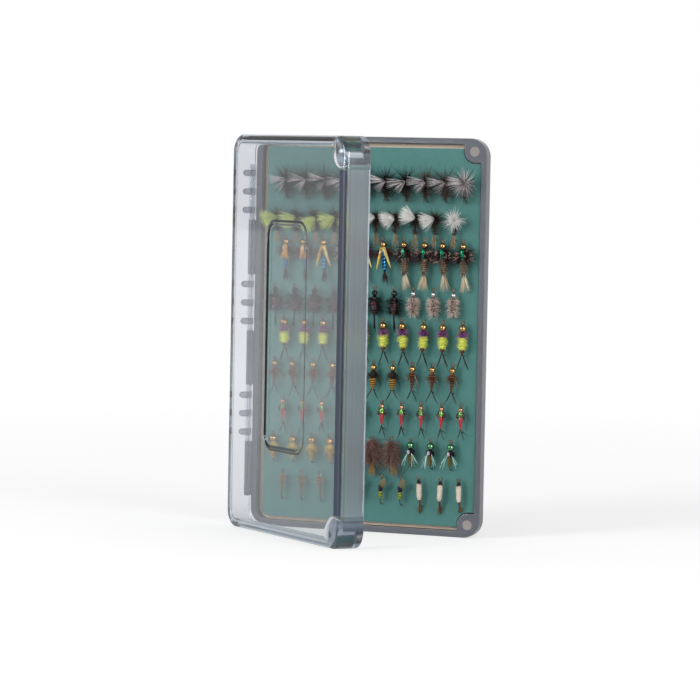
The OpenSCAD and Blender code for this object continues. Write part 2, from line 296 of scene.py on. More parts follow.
def eased(path, radii, steps=5):
    """Rounds the inner corners of a profile. Near a corner c with radius r, the points are
    c + r * ((1 - sin a) * back + (1 - cos a) * ahead) as a runs over a quarter turn."""
    path = np.array(path, float)
    turn = np.linspace(0, math.pi / 2, steps)[:, None]
    points = [path[:1]]
    for before, corner, after, radius in zip(path, path[1:], path[2:], radii):
        back = (before - corner) / np.linalg.norm(before - corner)
        ahead = (after - corner) / np.linalg.norm(after - corner)
        points.append(corner + radius * ((1 - np.sin(turn)) * back + (1 - np.cos(turn)) * ahead))
    points.append(path[-1:])
    return np.concatenate(points)


def loft(rings):
    """Closed surface through rings of equal count: four-cornered faces join each ring to the next, and
    the first and last ring are filled."""
    points = np.stack(rings)
    index = np.arange(points[:, :, 0].size).reshape(points.shape[:2])
    turned = np.roll(index, -1, axis=1)
    sides = np.stack([index[:-1], turned[:-1], turned[1:], index[1:]], axis=-1).reshape(-1, 4)
    return points.reshape(-1, 3), [sides, index[:1, ::-1], index[-1:]]


def revolved(radii, places, count=32):
    """Ring surface about the second axis: the closed profile (radius, place) is turned once round."""
    turn = np.arange(count) * 2 * math.pi / count
    radii, places = np.array(radii), np.array(places)
    points = np.stack([radii[:, None] * np.sin(turn), np.repeat(places[:, None], count, axis=1),
                       radii[:, None] * np.cos(turn)], axis=-1)
    index = np.arange(points[:, :, 0].size).reshape(points.shape[:2])
    turned, after = np.roll(index, -1, axis=1), np.roll(index, -1, axis=0)
    quads = np.stack([index, turned, np.roll(turned, -1, axis=0), after], axis=-1).reshape(-1, 4)
    return points.reshape(-1, 3), [quads]


def block(low, high):
    """Box between two corners, as a loft of its two square ends."""
    (x0, y0, z0), (x1, y1, z1) = low, high
    square = [(x0, y0), (x1, y0), (x1, y1), (x0, y1)]
    return loft([np.array([(x, y, z) for x, y in square]) for z in (z0, z1)])


def together(parts):
    """Several (points, faces) parts as one: the points are stacked and the corner numbers moved on."""
    points, faces, start = [], [], 0
    for part_points, part_faces in parts:
        points.append(part_points)
        faces += [block_of_faces + start for block_of_faces in part_faces]
        start += len(part_points)
    return np.concatenate(points), faces


def barrel_piece(number):
    """Drilled hinge knuckle with chamfered ends, at its place along the hinge."""
    middle = knuckle_pitch * ((knuckles - 1) / 2 - number)
    half = (knuckle_pitch - knuckle_gap) / 2
    bevel = barrel_chamfer
    points, faces = revolved(
        [barrel_bore_r, barrel_r - bevel, barrel_r, barrel_r, barrel_r - bevel, barrel_bore_r],
        [-half, -half, bevel - half, half - bevel, half, half])
    return points + [hinge_x, middle, 0], faces


def web_piece(number, near, far):
    """Solid web from a knuckle's wall into the hinge wall, between two depths."""
    middle = knuckle_pitch * ((knuckles - 1) / 2 - number)
    half = (knuckle_pitch - knuckle_gap) / 2 - barrel_chamfer
    return block((hinge_x + web_start, middle - half, near),
                 (hinge_x + hinge_offset + bite, middle + half, far))


def stood_up(points):
    """Case lying flat (x, y, depth in front of the rim plane) to the standing case, in metres."""
    points = np.asarray(points)
    return np.stack([points[:, 0], rim_y - points[:, 2], points[:, 1] + middle_z], axis=1) / 1000


def united(name, shell, extras):
    """Welds the parts in extras onto the shell by an exact union and returns one clean object with flat
    faces kept flat by area-weighted normals."""
    body = mesh_object(name, *shell, smooth=False)
    added = mesh_object(name + "_added", *extras, smooth=False)
    weld = body.modifiers.new("weld", "BOOLEAN")
    weld.operation = "UNION"
    weld.solver = "EXACT"
    weld.use_self = True
    weld.object = added
    bpy.context.view_layer.update()
    mesh = bpy.data.meshes.new_from_object(body.evaluated_get(bpy.context.evaluated_depsgraph_get()))
    bpy.data.objects.remove(added)
    body.modifiers.clear()
    body.data = mesh
    mesh.shade_smooth()
    mesh.set_sharp_from_angle(angle=crease)
    weighted = body.modifiers.new("flat_faces", "WEIGHTED_NORMAL")
    weighted.keep_sharp = True
    return body


def grain_group():
    """Fine uneven grain: Shade is a factor about 1, and Height feeds a bump."""
    group = bpy.data.node_groups.new("grain", "ShaderNodeTree")
    for socket in ("Scale", "Amount"):
        group.interface.new_socket(socket, in_out="INPUT", socket_type="NodeSocketFloat")
    for socket in ("Shade", "Height"):
        group.interface.new_socket(socket, in_out="OUTPUT", socket_type="NodeSocketFloat")
    given, result = group.nodes.new("NodeGroupInput"), group.nodes.new("NodeGroupOutput")
    noise = wired(group, "TexNoise", {"Vector": object_place(group), "Scale": given.outputs["Scale"],
                                      "Detail": grain_detail}, output="Fac")
    centred = wired(group, "Math", {0: noise, 1: 4.0, 2: -2.0}, operation="MULTIPLY_ADD")
    shade = wired(group, "Math", {0: centred, 1: given.outputs["Amount"], 2: 1.0}, operation="MULTIPLY_ADD")
    group.links.new(shade, result.inputs["Shade"])
    group.links.new(noise, result.inputs["Height"])
    return group


grain = grain_group()


def linear(red, green, blue):
    """Linear colour of a screen colour from 0 to 255: c / 12.92 below 0.04045, else the 2.4 power."""
    share = np.array([red, green, blue]) / 255
    return np.where(share <= 0.04045, share / 12.92, ((share + 0.055) / 1.055) ** 2.4)


def surface(name, **plain):
    """Material with one Principled shader whose plain sockets are given by name, with _ for a space."""
    material = bpy.data.materials.new(name)
    material.use_nodes = True
    shader = material.node_tree.nodes["Principled BSDF"]
    for socket, value in plain.items():
        shader.inputs[socket.replace("_", " ")].default_value = value
    return material, shader


def grained(material, shader, colour, scale, amount, bump=0.0, bump_size=0.0001):
    """Feeds Base Color with colour times the grain's shade, and Normal with its height. colour is a
    linear colour or a node output."""
    tree = material.node_tree
    texture = tree.nodes.new("ShaderNodeGroup")
    texture.node_tree = grain
    texture.inputs["Scale"].default_value = scale
    texture.inputs["Amount"].default_value = amount
    tone = wired(tree, "VectorMath", {0: colour, "Scale": texture.outputs["Shade"]}, operation="SCALE")
    tree.links.new(tone, shader.inputs["Base Color"])
    if bump:
        relief = wired(tree, "Bump", {"Strength": bump, "Distance": bump_size,
                                      "Height": texture.outputs["Height"]})
        tree.links.new(relief, shader.inputs["Normal"])


def plain_finish(name, colour, scale, amount, bump=0.0, bump_size=0.0001, **plain):
    """Material in one screen colour, broken up by the grain."""
    material, shader = surface(name, **plain)
    grained(material, shader, linear(*colour), scale, amount, bump, bump_size)
    return material


def refinish(node_name, material):
    """Gives a CAD piece that is shown as it is its material."""
    materials = frame["nodes"][node_name].data.materials
    materials.clear()
    materials.append(material)


def dress(piece, material, body="tray_body", stands_for=()):
    """Gives a piece its material, material slot and body, and hides the CAD nodes that it stands for."""
    piece.data.materials.clear()
    piece.data.materials.append(material)
    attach(piece, body)
    if stands_for:
        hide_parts(*stands_for)
    return piece


def tray_rings():
    """Rings from the middle of the back, out and up the outside, over the rim and down to the floor."""
    outside = eased([(tray_edge + 1, -tray_d), (0, -tray_d), (0, 0), (rim_ease + 0.5, 0)],
                    [tray_edge, rim_ease])
    rim = -magnet_sink
    inside = eased([(tray_wall - rim_ease - 0.3, rim), (tray_wall, rim), (tray_wall, tray_back - tray_d),
                    (tray_wall + 1, tray_back - tray_d)], [rim_ease, 0.4])
    rings = [case_ring(inset, min(depth, rim)) for inset, depth in outside]
    return rings + [case_ring(inset, depth, tray_boss_r + inset - tray_wall) for inset, depth in inside]


tray_points, tray_faces = loft(tray_rings())
tray_knuckles = range(1, knuckles, 2)
extra_points, extra_faces = together([barrel_piece(i) for i in tray_knuckles]
                                     + [web_piece(i, -barrel_r, -magnet_sink) for i in tray_knuckles])
tray = united("tray_shell", (stood_up(tray_points), tray_faces), (stood_up(extra_points), extra_faces))
smoke_plastic = plain_finish("smoke_plastic", (110, 114, 122), 350, 0.04, bump=0.08, bump_size=0.00004,
                             Roughness=0.24, IOR=1.49, Transmission_Weight=0.22, Coat_Weight=0.15,
                             Coat_Roughness=0.1)
dress(tray, smoke_plastic, stands_for=["tray"])


# Backing. A thin tan adhesive sheet lies on the tray floor under the mat. Its border shows all round.
backing_sheet = plain_finish("backing_sheet", (250, 224, 202), 1400, 0.06, bump=0.25, bump_size=0.00006,
                             Roughness=0.62)
refinish("mat_backing", backing_sheet)


# Mat. Teal silicone, soft and matt, with staggered rows of slits that grip the hook bends.
silicone = plain_finish("teal_silicone", (80, 132, 127), 260, 0.05, bump=0.15, bump_size=0.00005,
                        Roughness=0.5, Specular_IOR_Level=0.2)
refinish("silicone_mat", silicone)

# Places of the ninety hooks, in nine rows of ten. A hook leans a little about its bend.
mat_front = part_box("silicone_mat")[0][1] * 1000
shank_rise = 3.1
shank_y = mat_front - shank_rise
wire_r = 0.23
eye_r = 0.75
bend_r = 2.25
point_len = 3.0
rows = 9
columns = 10
all_columns = range(columns)
lean_spread = 2.2
rng = np.random.default_rng(11)
leans = np.radians(rng.normal(0, lean_spread, (rows, columns)))


def hook_places(row):
    """Across places of a row's ten hooks, their head height and their shank length, from the packed
    hooks' box: the eyes set its top and sides, and the bends its foot."""
    low, high = (np.array(corner) * 1000 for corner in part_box(f"hooks_row_{row + 1}"))
    eye = eye_r + wire_r
    head = high[2] - 2 * eye
    return np.linspace(high[0] - eye, low[0] + eye, columns), head, head - low[2] - bend_r - wire_r


places = [hook_places(row) for row in range(rows)]
shank_len = [length for _, _, length in places]


# The cut silicone closes again on both sides of each slit, so only a hair line shows: two flush lips a
# slit, from 2.65 mm below the hook bend to 3.95 mm above it.
slit_line = 0.06
slit_half = 0.37
slit_below = 2.65
slit_above = 3.95
lip_depth = 1.4


def slit_lips():
    """Boxes in metres on both sides of every slit line, flush with the face of the mat."""
    parts = []
    for row in range(rows):
        across, head, length = places[row]
        for middle in across:
            for near, far in ((-slit_half, -slit_line), (slit_line, slit_half)):
                points, faces = block((middle + near, mat_front, head - length - slit_below),
                                      (middle + far, mat_front + lip_depth, head - length + slit_above))
                parts.append((points / 1000, faces))
    return together(parts)


dress(mesh_object("closed_slits", *slit_lips(), smooth=False), silicone)


# Magnets. Four nickel-plated discs pressed into the corner bosses close the case.
nickel = plain_finish("nickel_plate", (136, 131, 127), 1500, 0.16, bump=0.2, bump_size=0.00003,
                      Metallic=1.0, Roughness=0.45)
for magnet_name in ("tray_magnet_upper", "tray_magnet_lower", "lid_magnet_upper", "lid_magnet_lower"):
    refinish(magnet_name, nickel)


# Lid. One deep moulding in clear plastic: the panel has a shallow label recess outside and a matching
# raised pad inside, the free wall is finely frosted, and three knuckles with round-ended ribs carry it.
lid_d = 13.0
lid_wall = 2.2
lid_panel = 1.8
lid_edge = 2.4
lid_boss_r = 6.2
rim_gap = 0.2
label_w = 37.5
label_h = 103.0
label_r = 6.0
label_step = 0.7
label_shoulder = 1.5
label_ramp = 0.8
inner_fillet = 2.6
gusset_reach = 5.6
gusset_w = 3.0
gusset_pitch = 8.7
gussets = 3

# Its finish changes by zones, measured in from the free edge, from the ends or from the outer face.
frost_roughness = 0.34
clear_roughness = 0.03
wall_streak_scale = 900.0
body_density = 62.0
boss_roughness = 0.16
boss_zone = 17.0
# The navy band beside the free wall is painted shade: a dark base colour standing for the dark of the lid's
# thick edge. These set its colour, roughness and place.
navy_roughness = 0.5
painted_edge_shade = (0.0008, 0.006, 0.052)
# Painted shade: the darker grey-blue given to the lower lid boss only.
lower_boss_painted_shade = (0.56, 0.62, 0.72)
navy_from, navy_to = 5.3, 0.2
navy_end, navy_depth = 14.0, 1.5
frost_end = 13.5
wall_skin, wall_margin = 1.8, 0.4
wall_streak_shade = 0.78
body_tone = (0.20, 0.344, 0.468)
free_edge = case_w + hinge_offset


def label_ring(grow, depth):
    """Outline of the label recess, grown on all sides, at a depth from the rim plane."""
    flat = outline(label_w + 2 * grow, label_h + 2 * grow, label_r + grow)
    return np.column_stack([flat, np.full(len(flat), depth)])


def lid_rings():
    """Rings from the middle of the inner pad, down the inside, over the rim, up the outside and in to
    the middle of the label recess."""
    ceiling = lid_d - lid_panel
    rim = rim_gap + magnet_sink
    pad = eased([(label_shoulder - 1.6, ceiling - label_step),
                 (label_shoulder - label_ramp, ceiling - label_step),
                 (label_shoulder, ceiling), (label_shoulder + 0.6, ceiling)], [0.25, 0.25])
    inside = eased([(lid_wall + inner_fillet + 0.6, ceiling), (lid_wall, ceiling), (lid_wall, rim),
                    (lid_wall - rim_ease - 0.3, rim)], [inner_fillet, rim_ease], steps=9)
    outside = eased([(rim_ease + 0.4, rim), (0, rim), (0, lid_d), (lid_edge + 0.6, lid_d)],
                    [rim_ease, lid_edge], steps=9)
    recess = eased([(0.9, lid_d), (0, lid_d), (-label_ramp, lid_d - label_step),
                    (-label_ramp - 0.9, lid_d - label_step)], [0.3, 0.3])
    rings = [label_ring(grow, depth) for grow, depth in pad]
    rings += [case_ring(inset, depth, lid_boss_r + inset - lid_wall) for inset, depth in inside]
    rings += [case_ring(inset, depth) for inset, depth in outside]
    return rings + [label_ring(grow, depth) for grow, depth in recess]


def gusset_piece(number, place):
    """Round-ended rib on the outside of the hinge wall: its outline, a straight run and a half turn, is
    carried from the wall to the outer face with an eased edge."""
    middle = knuckle_pitch * ((knuckles - 1) / 2 - number) + gusset_pitch * (place - (gussets - 1) / 2)
    wall_x = hinge_x + hinge_offset
    rings = []
    for x, inset in ((wall_x - barrel_r, 0.35), (wall_x - barrel_r + 0.12, 0.12),
                     (wall_x - barrel_r + 0.4, 0.0), (wall_x + bite, 0.0)):
        half = gusset_w / 2 - inset
        top = arc(0, gusset_reach - gusset_w / 2, half, 0, 180, 16)
        ring = np.concatenate([top, [[-half, rim_gap + 0.5], [half, rim_gap + 0.5]]])
        rings.append(np.column_stack([np.full(len(ring), x), ring[:, 0] + middle, ring[:, 1]]))
    return loft(rings)


def swung(points):
    """Turns the shut lid about the hinge axis to its open place: with v the distance from the axis,
    x = v cos a - depth sin a and depth = v sin a + depth cos a."""
    points = np.asarray(points)
    from_axis, depth = points[:, 0] - hinge_x, points[:, 2]
    cos, sin = math.cos(open_angle), math.sin(open_angle)
    return np.stack([hinge_x + from_axis * cos - depth * sin, points[:, 1],
                     from_axis * sin + depth * cos], axis=1)


def lid_distance(tree, direction):
    """Distance in metres from the hinge axis along a level direction of the open lid, as a node output."""
    dot = wired(tree, "VectorMath", {0: object_place(tree), 1: (*direction, 0.0)}, output="Value",
                operation="DOT_PRODUCT")
    return joined(tree, "SUBTRACT", dot, (hinge_x * direction[0] + rim_y * direction[1]) / 1000)


def step_up(tree, value, place, width=0.3):
    """0 below a place in millimetres and 1 beyond it, over a width. A negative width steps down."""
    return remapped(tree, value, place / 1000, (place + width) / 1000)


def clear_material(name, tints, see_through=1.0):
    """Clear plastic that lets lamps through and darkens to navy along its length. The flat of the free
    wall is frosted between the bosses, with faint darker streaks along its length. The bosses are a
    little blurred, and the lower one is painted a darker grey-blue as shade. Seen from outside, the panel
    beside the free wall has a dull navy band painted on as shade, for the dark of its own thick edge.
    tints are the linear tints of the clear panel, the frosted wall and the two end walls, whose darker
    tint is painted shade, and see_through is the clear share."""
    material, shader = surface(name, Transmission_Weight=see_through, IOR=1.49)
    tree = material.node_tree
    along = lid_distance(tree, (math.cos(open_angle), -math.sin(open_angle)))
    depth = lid_distance(tree, (-math.sin(open_angle), -math.cos(open_angle)))
    level = wired(tree, "SeparateXYZ", {0: object_place(tree)}, output="Z")
    above = joined(tree, "SUBTRACT", level, middle_z / 1000)
    height = wired(tree, "Math", {0: above}, operation="ABSOLUTE")
    wall_inside = product(tree, step_up(tree, along, free_edge - lid_wall - wall_margin),
                          step_up(tree, depth, lid_d - lid_panel - 0.6, -0.6))
    on_wall = joined(tree, "MAXIMUM", step_up(tree, along, free_edge - wall_skin), wall_inside)
    frost = product(tree, on_wall, step_up(tree, height, case_h / 2 - frost_end, -2.0))
    # Painted shade: mask of the end walls, where the tint ramp gives them a darker grey-blue.
    ends = product(tree, step_up(tree, height, case_h / 2 - lid_wall - 0.2),
                   step_up(tree, depth, lid_d - 0.6, -0.6))
    boss = product(tree, step_up(tree, along, free_edge - boss_zone, 1.5),
                   step_up(tree, height, case_h / 2 - boss_zone, 1.5),
                   step_up(tree, depth, lid_d - lid_panel - 0.3, -0.3))
    # Painted shade: mask of the dark navy band along the free wall, shown only from outside.
    from_outside = joined(tree, "SUBTRACT", 1.0, wired(tree, "NewGeometry", output="Backfacing"))
    painted_edge_band = product(tree, step_up(tree, along, free_edge - navy_from, 0.25),
                   step_up(tree, along, free_edge - navy_to, -0.25),
                   step_up(tree, height, case_h / 2 - navy_end, -1.5),
                   step_up(tree, depth, lid_d - navy_depth, 0.3), from_outside)
    roughness = remapped(tree, frost, 0.0, 1.0, clear_roughness, frost_roughness)
    for share, dullness in ((boss, boss_roughness), (painted_edge_band, navy_roughness)):
        roughness = joined(tree, "MAXIMUM", roughness, product(tree, share, dullness))
    tree.links.new(roughness, shader.inputs["Roughness"])
    tint = tree.nodes.new("ShaderNodeValToRGB")
    tint.color_ramp.elements.new(0.5)
    for stop, colour in zip(tint.color_ramp.elements, tints):
        stop.color = (*colour, 1.0)
    tree.links.new(joined(tree, "MAXIMUM", product(tree, frost, 0.5), ends), tint.inputs[0])
    # Darker streaks along the frosted wall's length, from noise that varies across its depth only.
    lines = wired(tree, "TexNoise", {"Vector": wired(tree, "CombineXYZ", {0: depth}),
                                     "Scale": wall_streak_scale}, output="Fac")
    shade = joined(tree, "MAXIMUM", joined(tree, "SUBTRACT", 1.0, frost),
                   remapped(tree, lines, 0.3, 0.7, wall_streak_shade))
    colour = wired(tree, "VectorMath", {0: tint.outputs[0], "Scale": shade}, operation="SCALE")
    # Painted shade: only the lower of the two like bosses gets the darker grey-blue.
    shaded_lower_boss = product(tree, boss, remapped(tree, above, 0.001, -0.001))
    # Both mixes paint shade into the base colour: the lower boss and the navy edge band.
    for share, tone in ((shaded_lower_boss, lower_boss_painted_shade), (painted_edge_band, painted_edge_shade)):
        colour = wired(tree, "Mix", {"Factor": share, "A": colour, "B": (*tone, 1.0)}, output="Result",
                       data_type="RGBA")
    tree.links.new(colour, shader.inputs["Base Color"])
    lamp_ray = joined(tree, "MAXIMUM", ray(tree, "Shadow"), ray(tree, "Diffuse"))
    mix = wired(tree, "MixShader", {0: lamp_ray, 1: shader.outputs[0], 2: wired(tree, "BsdfTransparent")})
    body = wired(tree, "VolumeAbsorption", {"Color": (*body_tone, 1.0), "Density": body_density})
    sinks = tree.nodes["Material Output"].inputs
    tree.links.new(mix, sinks["Surface"])
    tree.links.new(body, sinks["Volume"])
    return material


lid_points, lid_faces = loft(lid_rings())
lid_knuckles = range(0, knuckles, 2)
extra_points, extra_faces = together(
    [barrel_piece(i) for i in lid_knuckles] + [web_piece(i, rim_gap, barrel_r) for i in lid_knuckles])
lid = united("lid_shell", (stood_up(swung(lid_points)), lid_faces),
             (stood_up(swung(extra_points)), extra_faces))


def face_places(piece):
    """Middle of each face in millimetres as distance from the hinge axis, height from the middle of the
    case and depth from the rim plane, and how squarely the face looks across the panel, 0 to 1."""
    mesh = piece.data
    centres = np.empty(3 * len(mesh.polygons), np.float32)
    normals = np.empty(3 * len(mesh.polygons), np.float32)
    mesh.polygons.foreach_get("center", centres)
    mesh.polygons.foreach_get("normal", normals)
    cos, sin = math.cos(open_angle), math.sin(open_angle)
    x, y, z = (centres.reshape(-1, 3) * 1000 - [hinge_x, rim_y, middle_z]).T
    squarely = np.abs(normals.reshape(-1, 3) @ [-sin, -cos, 0.0])
    return x * cos - y * sin, np.abs(z), -x * sin - y * cos, squarely


# The two end walls get a darker grey-blue tint as painted shade.
end_wall_painted_shade = (0.54, 0.58, 0.64)
clear_plastic = clear_material("clear_plastic", [(0.94, 0.94, 0.955), (0.97, 0.99, 1.0), end_wall_painted_shade])
frosted_plastic = clear_material("frosted_plastic", [(0.97, 0.98, 1.0), (0.62, 0.68, 0.76), end_wall_painted_shade],
                                 see_through=0.90)
# Painted shade: a dark blue-grey plastic for the slopes round the label recess, standing for the dark lines
# its edge shows.
outline_plastic = clear_material("outline_plastic", [(0.10, 0.16, 0.28)] * 3)
dress(lid, clear_plastic, body="lid_body", stands_for=["lid"])
lid.data.materials.append(frosted_plastic)
lid.data.materials.append(outline_plastic)
away, high, deep, squarely = face_places(lid)
finish_number = np.zeros(len(away), np.int32)
finish_number[(away > free_edge - lid_wall - wall_margin) & (squarely < 0.3) & (high < case_h / 4)
              & (deep < lid_d - lid_edge + 0.2)] = 1
# The slopes round the label recess take the third finish, the painted dark outline.
finish_number[(np.abs(away + hinge_x) < label_w / 2 + label_shoulder + 0.3) & (squarely < 0.94)
              & (high < label_h / 2 + label_shoulder + 0.3)] = 2
lid.data.polygons.foreach_set("material_index", finish_number)
rib_points, rib_faces = together([gusset_piece(i, place) for i in lid_knuckles for place in range(gussets)])
ribs = mesh_object("lid_ribs", stood_up(swung(rib_points)), rib_faces)
ribs.data.set_sharp_from_angle(angle=crease)
# The ribs are one clear plastic: their sides are painted darker grey as shade, and their flat outer faces
# paler as painted light.
rib_plastic = plain_finish("rib_plastic", (128, 136, 150), 800, 0.05, Transmission_Weight=0.85, IOR=1.49,
                           Roughness=0.16)
dress(ribs, rib_plastic, body="lid_body")
rib_face = plain_finish("rib_face", (214, 220, 228), 800, 0.05, Transmission_Weight=0.9, IOR=1.49,
                        Roughness=0.1)
ribs.data.materials.append(rib_face)
rib_normals = np.empty(3 * len(ribs.data.polygons), np.float32)
ribs.data.polygons.foreach_get("normal", rib_normals)
outer_face = rib_normals.reshape(-1, 3) @ [-math.cos(open_angle), math.sin(open_angle), 0.0] > 0.97
ribs.data.polygons.foreach_set("material_index", outer_face.astype(np.int32))


# Hinge pin. A clear plastic rod runs through all the knuckles, so only its ends would show.
pin_plastic = plain_finish("pin_plastic", (205, 212, 222), 800, 0.03, Roughness=0.12, IOR=1.49,
                           Transmission_Weight=0.6)
refinish("hinge_pin", pin_plastic)


# Hooks. Bronzed wire: a closed eye, a straight shank, a round bend and a barbed point that the slit
# grips. A hook is drawn in its own space of across, out from the shank and down from the head.
def tubes(centres, radii, sides=3, across=None, flat=1.0):
    """Carries a ring along each of n paths. centres is (n, steps, 3) and radii (n, steps). A ring point
    is centre + radius * (cos a * u + flat * sin a * v), where u = along x across and v = along x u."""
    along = np.gradient(centres, axis=1)
    along /= np.linalg.norm(along, axis=2, keepdims=True)
    if across is None:
        across = np.eye(3)[np.abs(along.mean(axis=1)).argmin(axis=1)][:, None]
    u = np.cross(along, np.broadcast_to(across, along.shape))
    u /= np.linalg.norm(u, axis=2, keepdims=True)
    v = flat * np.cross(along, u)
    turn = (np.arange(sides) * 2 * math.pi / sides)[:, None]
    points = centres[:, :, None] + radii[:, :, None, None] * (np.cos(turn) * u[:, :, None]
                                                              + np.sin(turn) * v[:, :, None])
    index = np.arange(points[..., 0].size).reshape(points.shape[:3])
    turned = np.roll(index, -1, axis=2)
    walls = np.stack([index[:, :-1], turned[:, :-1], turned[:, 1:], index[:, 1:]], axis=-1)
    return points.reshape(-1, 3), [walls.reshape(-1, 4), index[:, 0, ::-1], index[:, -1]]


def gathered(parts):
    """Several (points, faces, tint) parts as one."""
    points, faces = together([part[:2] for part in parts])
    return points, faces, np.concatenate([part[2] for part in parts])


def tied(row, column, part):
    """Moves a part from its hook's own space to its place in the row, leaned about the hook's bend."""
    across, head, length = places[row]
    points, faces, tint = part
    cos, sin = math.cos(leans[row, column]), math.sin(leans[row, column])
    above = length - points[:, 2]
    world = np.stack([across[column] + points[:, 0] * cos + above * sin, shank_y - points[:, 1],
                      head - length + above * cos - points[:, 0] * sin], axis=1)
    return world / 1000, faces, tint


def tint_all(shape, colour):
    """A (points, faces) shape with one colour over all its points."""
    return (*shape, np.tile(colour, (len(shape[0]), 1)))


def hook_wire(length):
    """One hook as a tube along its path: round the eye, down the shank, half a turn round the bend in
    the plane square to the mat, and up the point, which thins to a tip behind its barb."""
    eye = np.radians(np.linspace(80, -250, 15))
    eye_path = np.stack([eye_r * np.cos(eye), np.zeros(15), -eye_r - wire_r - eye_r * np.sin(eye)], axis=1)
    shank = np.linspace(0.15, length, 5)
    shank_path = np.stack([np.zeros(5), np.zeros(5), shank], axis=1)
    bend = np.linspace(0, math.pi, 13)[1:]
    bend_path = np.stack([np.zeros(12), bend_r * (np.cos(bend) - 1), length + bend_r * np.sin(bend)], axis=1)
    point = np.array([0.35, 0.62, 0.66, 1.0]) * point_len
    point_path = np.stack([np.zeros(4), np.full(4, -2 * bend_r), length - point], axis=1)
    path = np.concatenate([eye_path, shank_path, bend_path, point_path])
    thick = np.full(len(path), wire_r)
    thick[-4:] = wire_r * np.array([0.95, 1.25, 0.7, 0.15])
    return tubes(path[None], thick[None], sides=8, across=np.array([0.7071, 0.7071, 0.0]))


def threaded(name, row, chosen, shapes, material, stands_for=()):
    """One piece for a row: every untinted shape of the list on each of the chosen hooks."""
    parts = [tied(row, column, tint_all(shape, np.ones(3))) for column in chosen for shape in shapes]
    dress(mesh_object(name, *gathered(parts)[:2]), material, stands_for=stands_for)


bronze_wire = plain_finish("bronze_wire", (92, 80, 68), 3000, 0.12, Metallic=1.0, Roughness=0.28)
for row in range(rows):
    threaded(f"wires_row_{row + 1}", row, all_columns, [hook_wire(shank_len[row])], bronze_wire,
             stands_for=[f"hooks_row_{row + 1}"])


# Beads. Drilled brass beads, plated or anodised, sit behind the hook eyes from the third row to the
# eighth. Each is a turned ring: its round outside, and a bore for the wire.
bore_r = 0.34
bead_r = {row: (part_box(f"beads_row_{row + 1}")[1][2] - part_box(f"beads_row_{row + 1}")[0][2]) * 500
          for row in range(2, 8)}


def bead(radius, start=0.0):
    """Round bead on the shank: radius * (sin a, 1 - cos a) between its two bore edges, with the bore."""
    edge = math.asin(bore_r / radius)
    turn = np.linspace(edge, math.pi - edge, 15)
    rim = [bore_r * 0.92, *(radius * np.sin(turn)), bore_r * 0.92]
    down = radius * (1 - np.cos(turn))
    points, faces = revolved(rim, [down[0] + 0.06, *down, down[-1] - 0.06], count=28)
    return points[:, [2, 0, 1]] + [0, 0, start], faces


def plated(name, colour, roughness, coat=0.0):
    """Plated metal with a faint uneven lustre."""
    return plain_finish(name, colour, 1500, 0.05, bump=0.05, bump_size=0.00002, Metallic=1.0,
                        Roughness=roughness, Coat_Weight=coat, Coat_Roughness=0.05, Coat_IOR=2.0)


gold_plate = plated("gold_plate", (188, 148, 94), 0.11)
silver_plate = plated("silver_plate", (206, 202, 200), 0.14)
copper_plate = plated("copper_plate", (198, 146, 110), 0.15)
emerald_plate = plated("emerald_plate", (10, 120, 52), 0.15, coat=1.0)
black_plate = plated("black_plate", (20, 21, 25), 0.14, coat=0.3)
pair_r, pair_step = 1.45, 2.6
bead_rows = {2: (gold_plate, "bead_gold", all_columns), 3: (silver_plate, "bead_silver", (0, 1, 2)),
             4: (gold_plate, "bead_gold", all_columns), 5: (gold_plate, "bead_gold", all_columns),
             6: (copper_plate, "bead_copper", all_columns), 7: (emerald_plate, "bead_emerald", (0, 1, 2))}
for row, (plate, plate_slot, bead_columns) in bead_rows.items():
    threaded(f"turned_beads_row_{row + 1}", row, bead_columns, [bead(bead_r[row])], plate,
             stands_for=[f"beads_row_{row + 1}"])
threaded("turned_beads_row_8_gold", 7, range(6, columns), [bead(bead_r[7])], gold_plate)
threaded("black_beads_row_4", 3, range(3, columns), [bead(pair_r), bead(pair_r, pair_step)], black_plate)


# Dressing. Every body is wound round its shank, and every hackle, wing, tail and pinch of dubbing is
# made of single tapered hairs, so the same few ways of tying serve all nine rows.
room_above = 7.0
out_of_mat = np.array([0.0, 1.0, 0.0])


def mixed(count, colours, spread=0.18):
    """Linear tints for count hairs, each drawn from the screen colours given and made lighter or darker
    by up to spread."""
    palette = np.array([linear(*colour) for colour in colours])
    return palette[rng.integers(len(palette), size=count)] * rng.uniform(1 - spread, 1 + spread, (count, 1))


def normalised(vectors):
    """Vectors at unit length."""
    vectors = np.asarray(vectors, float)
    return vectors / np.linalg.norm(vectors, axis=-1, keepdims=True)


def bent(starts, knees, ends, thick, tints, steps=4, flat=1.0, across=None, taper=0.85, sides=3,
         waist=0.0):
    """n tapered hairs on curves (1 - t)^2 start + 2 t (1 - t) knee + t^2 end. The radius is
    thick * (1 - taper t) * (1 + waist sin(pi t)), and each tip is a little paler than its root."""
    share = np.linspace(0, 1, steps)[:, None]
    starts, knees, ends = (np.atleast_2d(np.asarray(place, float))[:, None]
                           for place in (starts, knees, ends))
    centres = (1 - share) ** 2 * starts + 2 * share * (1 - share) * knees + share ** 2 * ends
    run = share[:, 0]
    radii = np.broadcast_to(np.asarray(thick, float).reshape(-1, 1), (len(centres), 1)) * (
        (1 - taper * run) * (1 + waist * np.sin(math.pi * run)))
    shade = (0.90 + 0.30 * run)[None, :, None, None] * np.atleast_2d(tints)[:, None, None, :]
    tint = np.broadcast_to(shade, (len(centres), steps, sides, 3)).reshape(-1, 3)
    return (*tubes(centres, radii, sides, across, flat), tint)


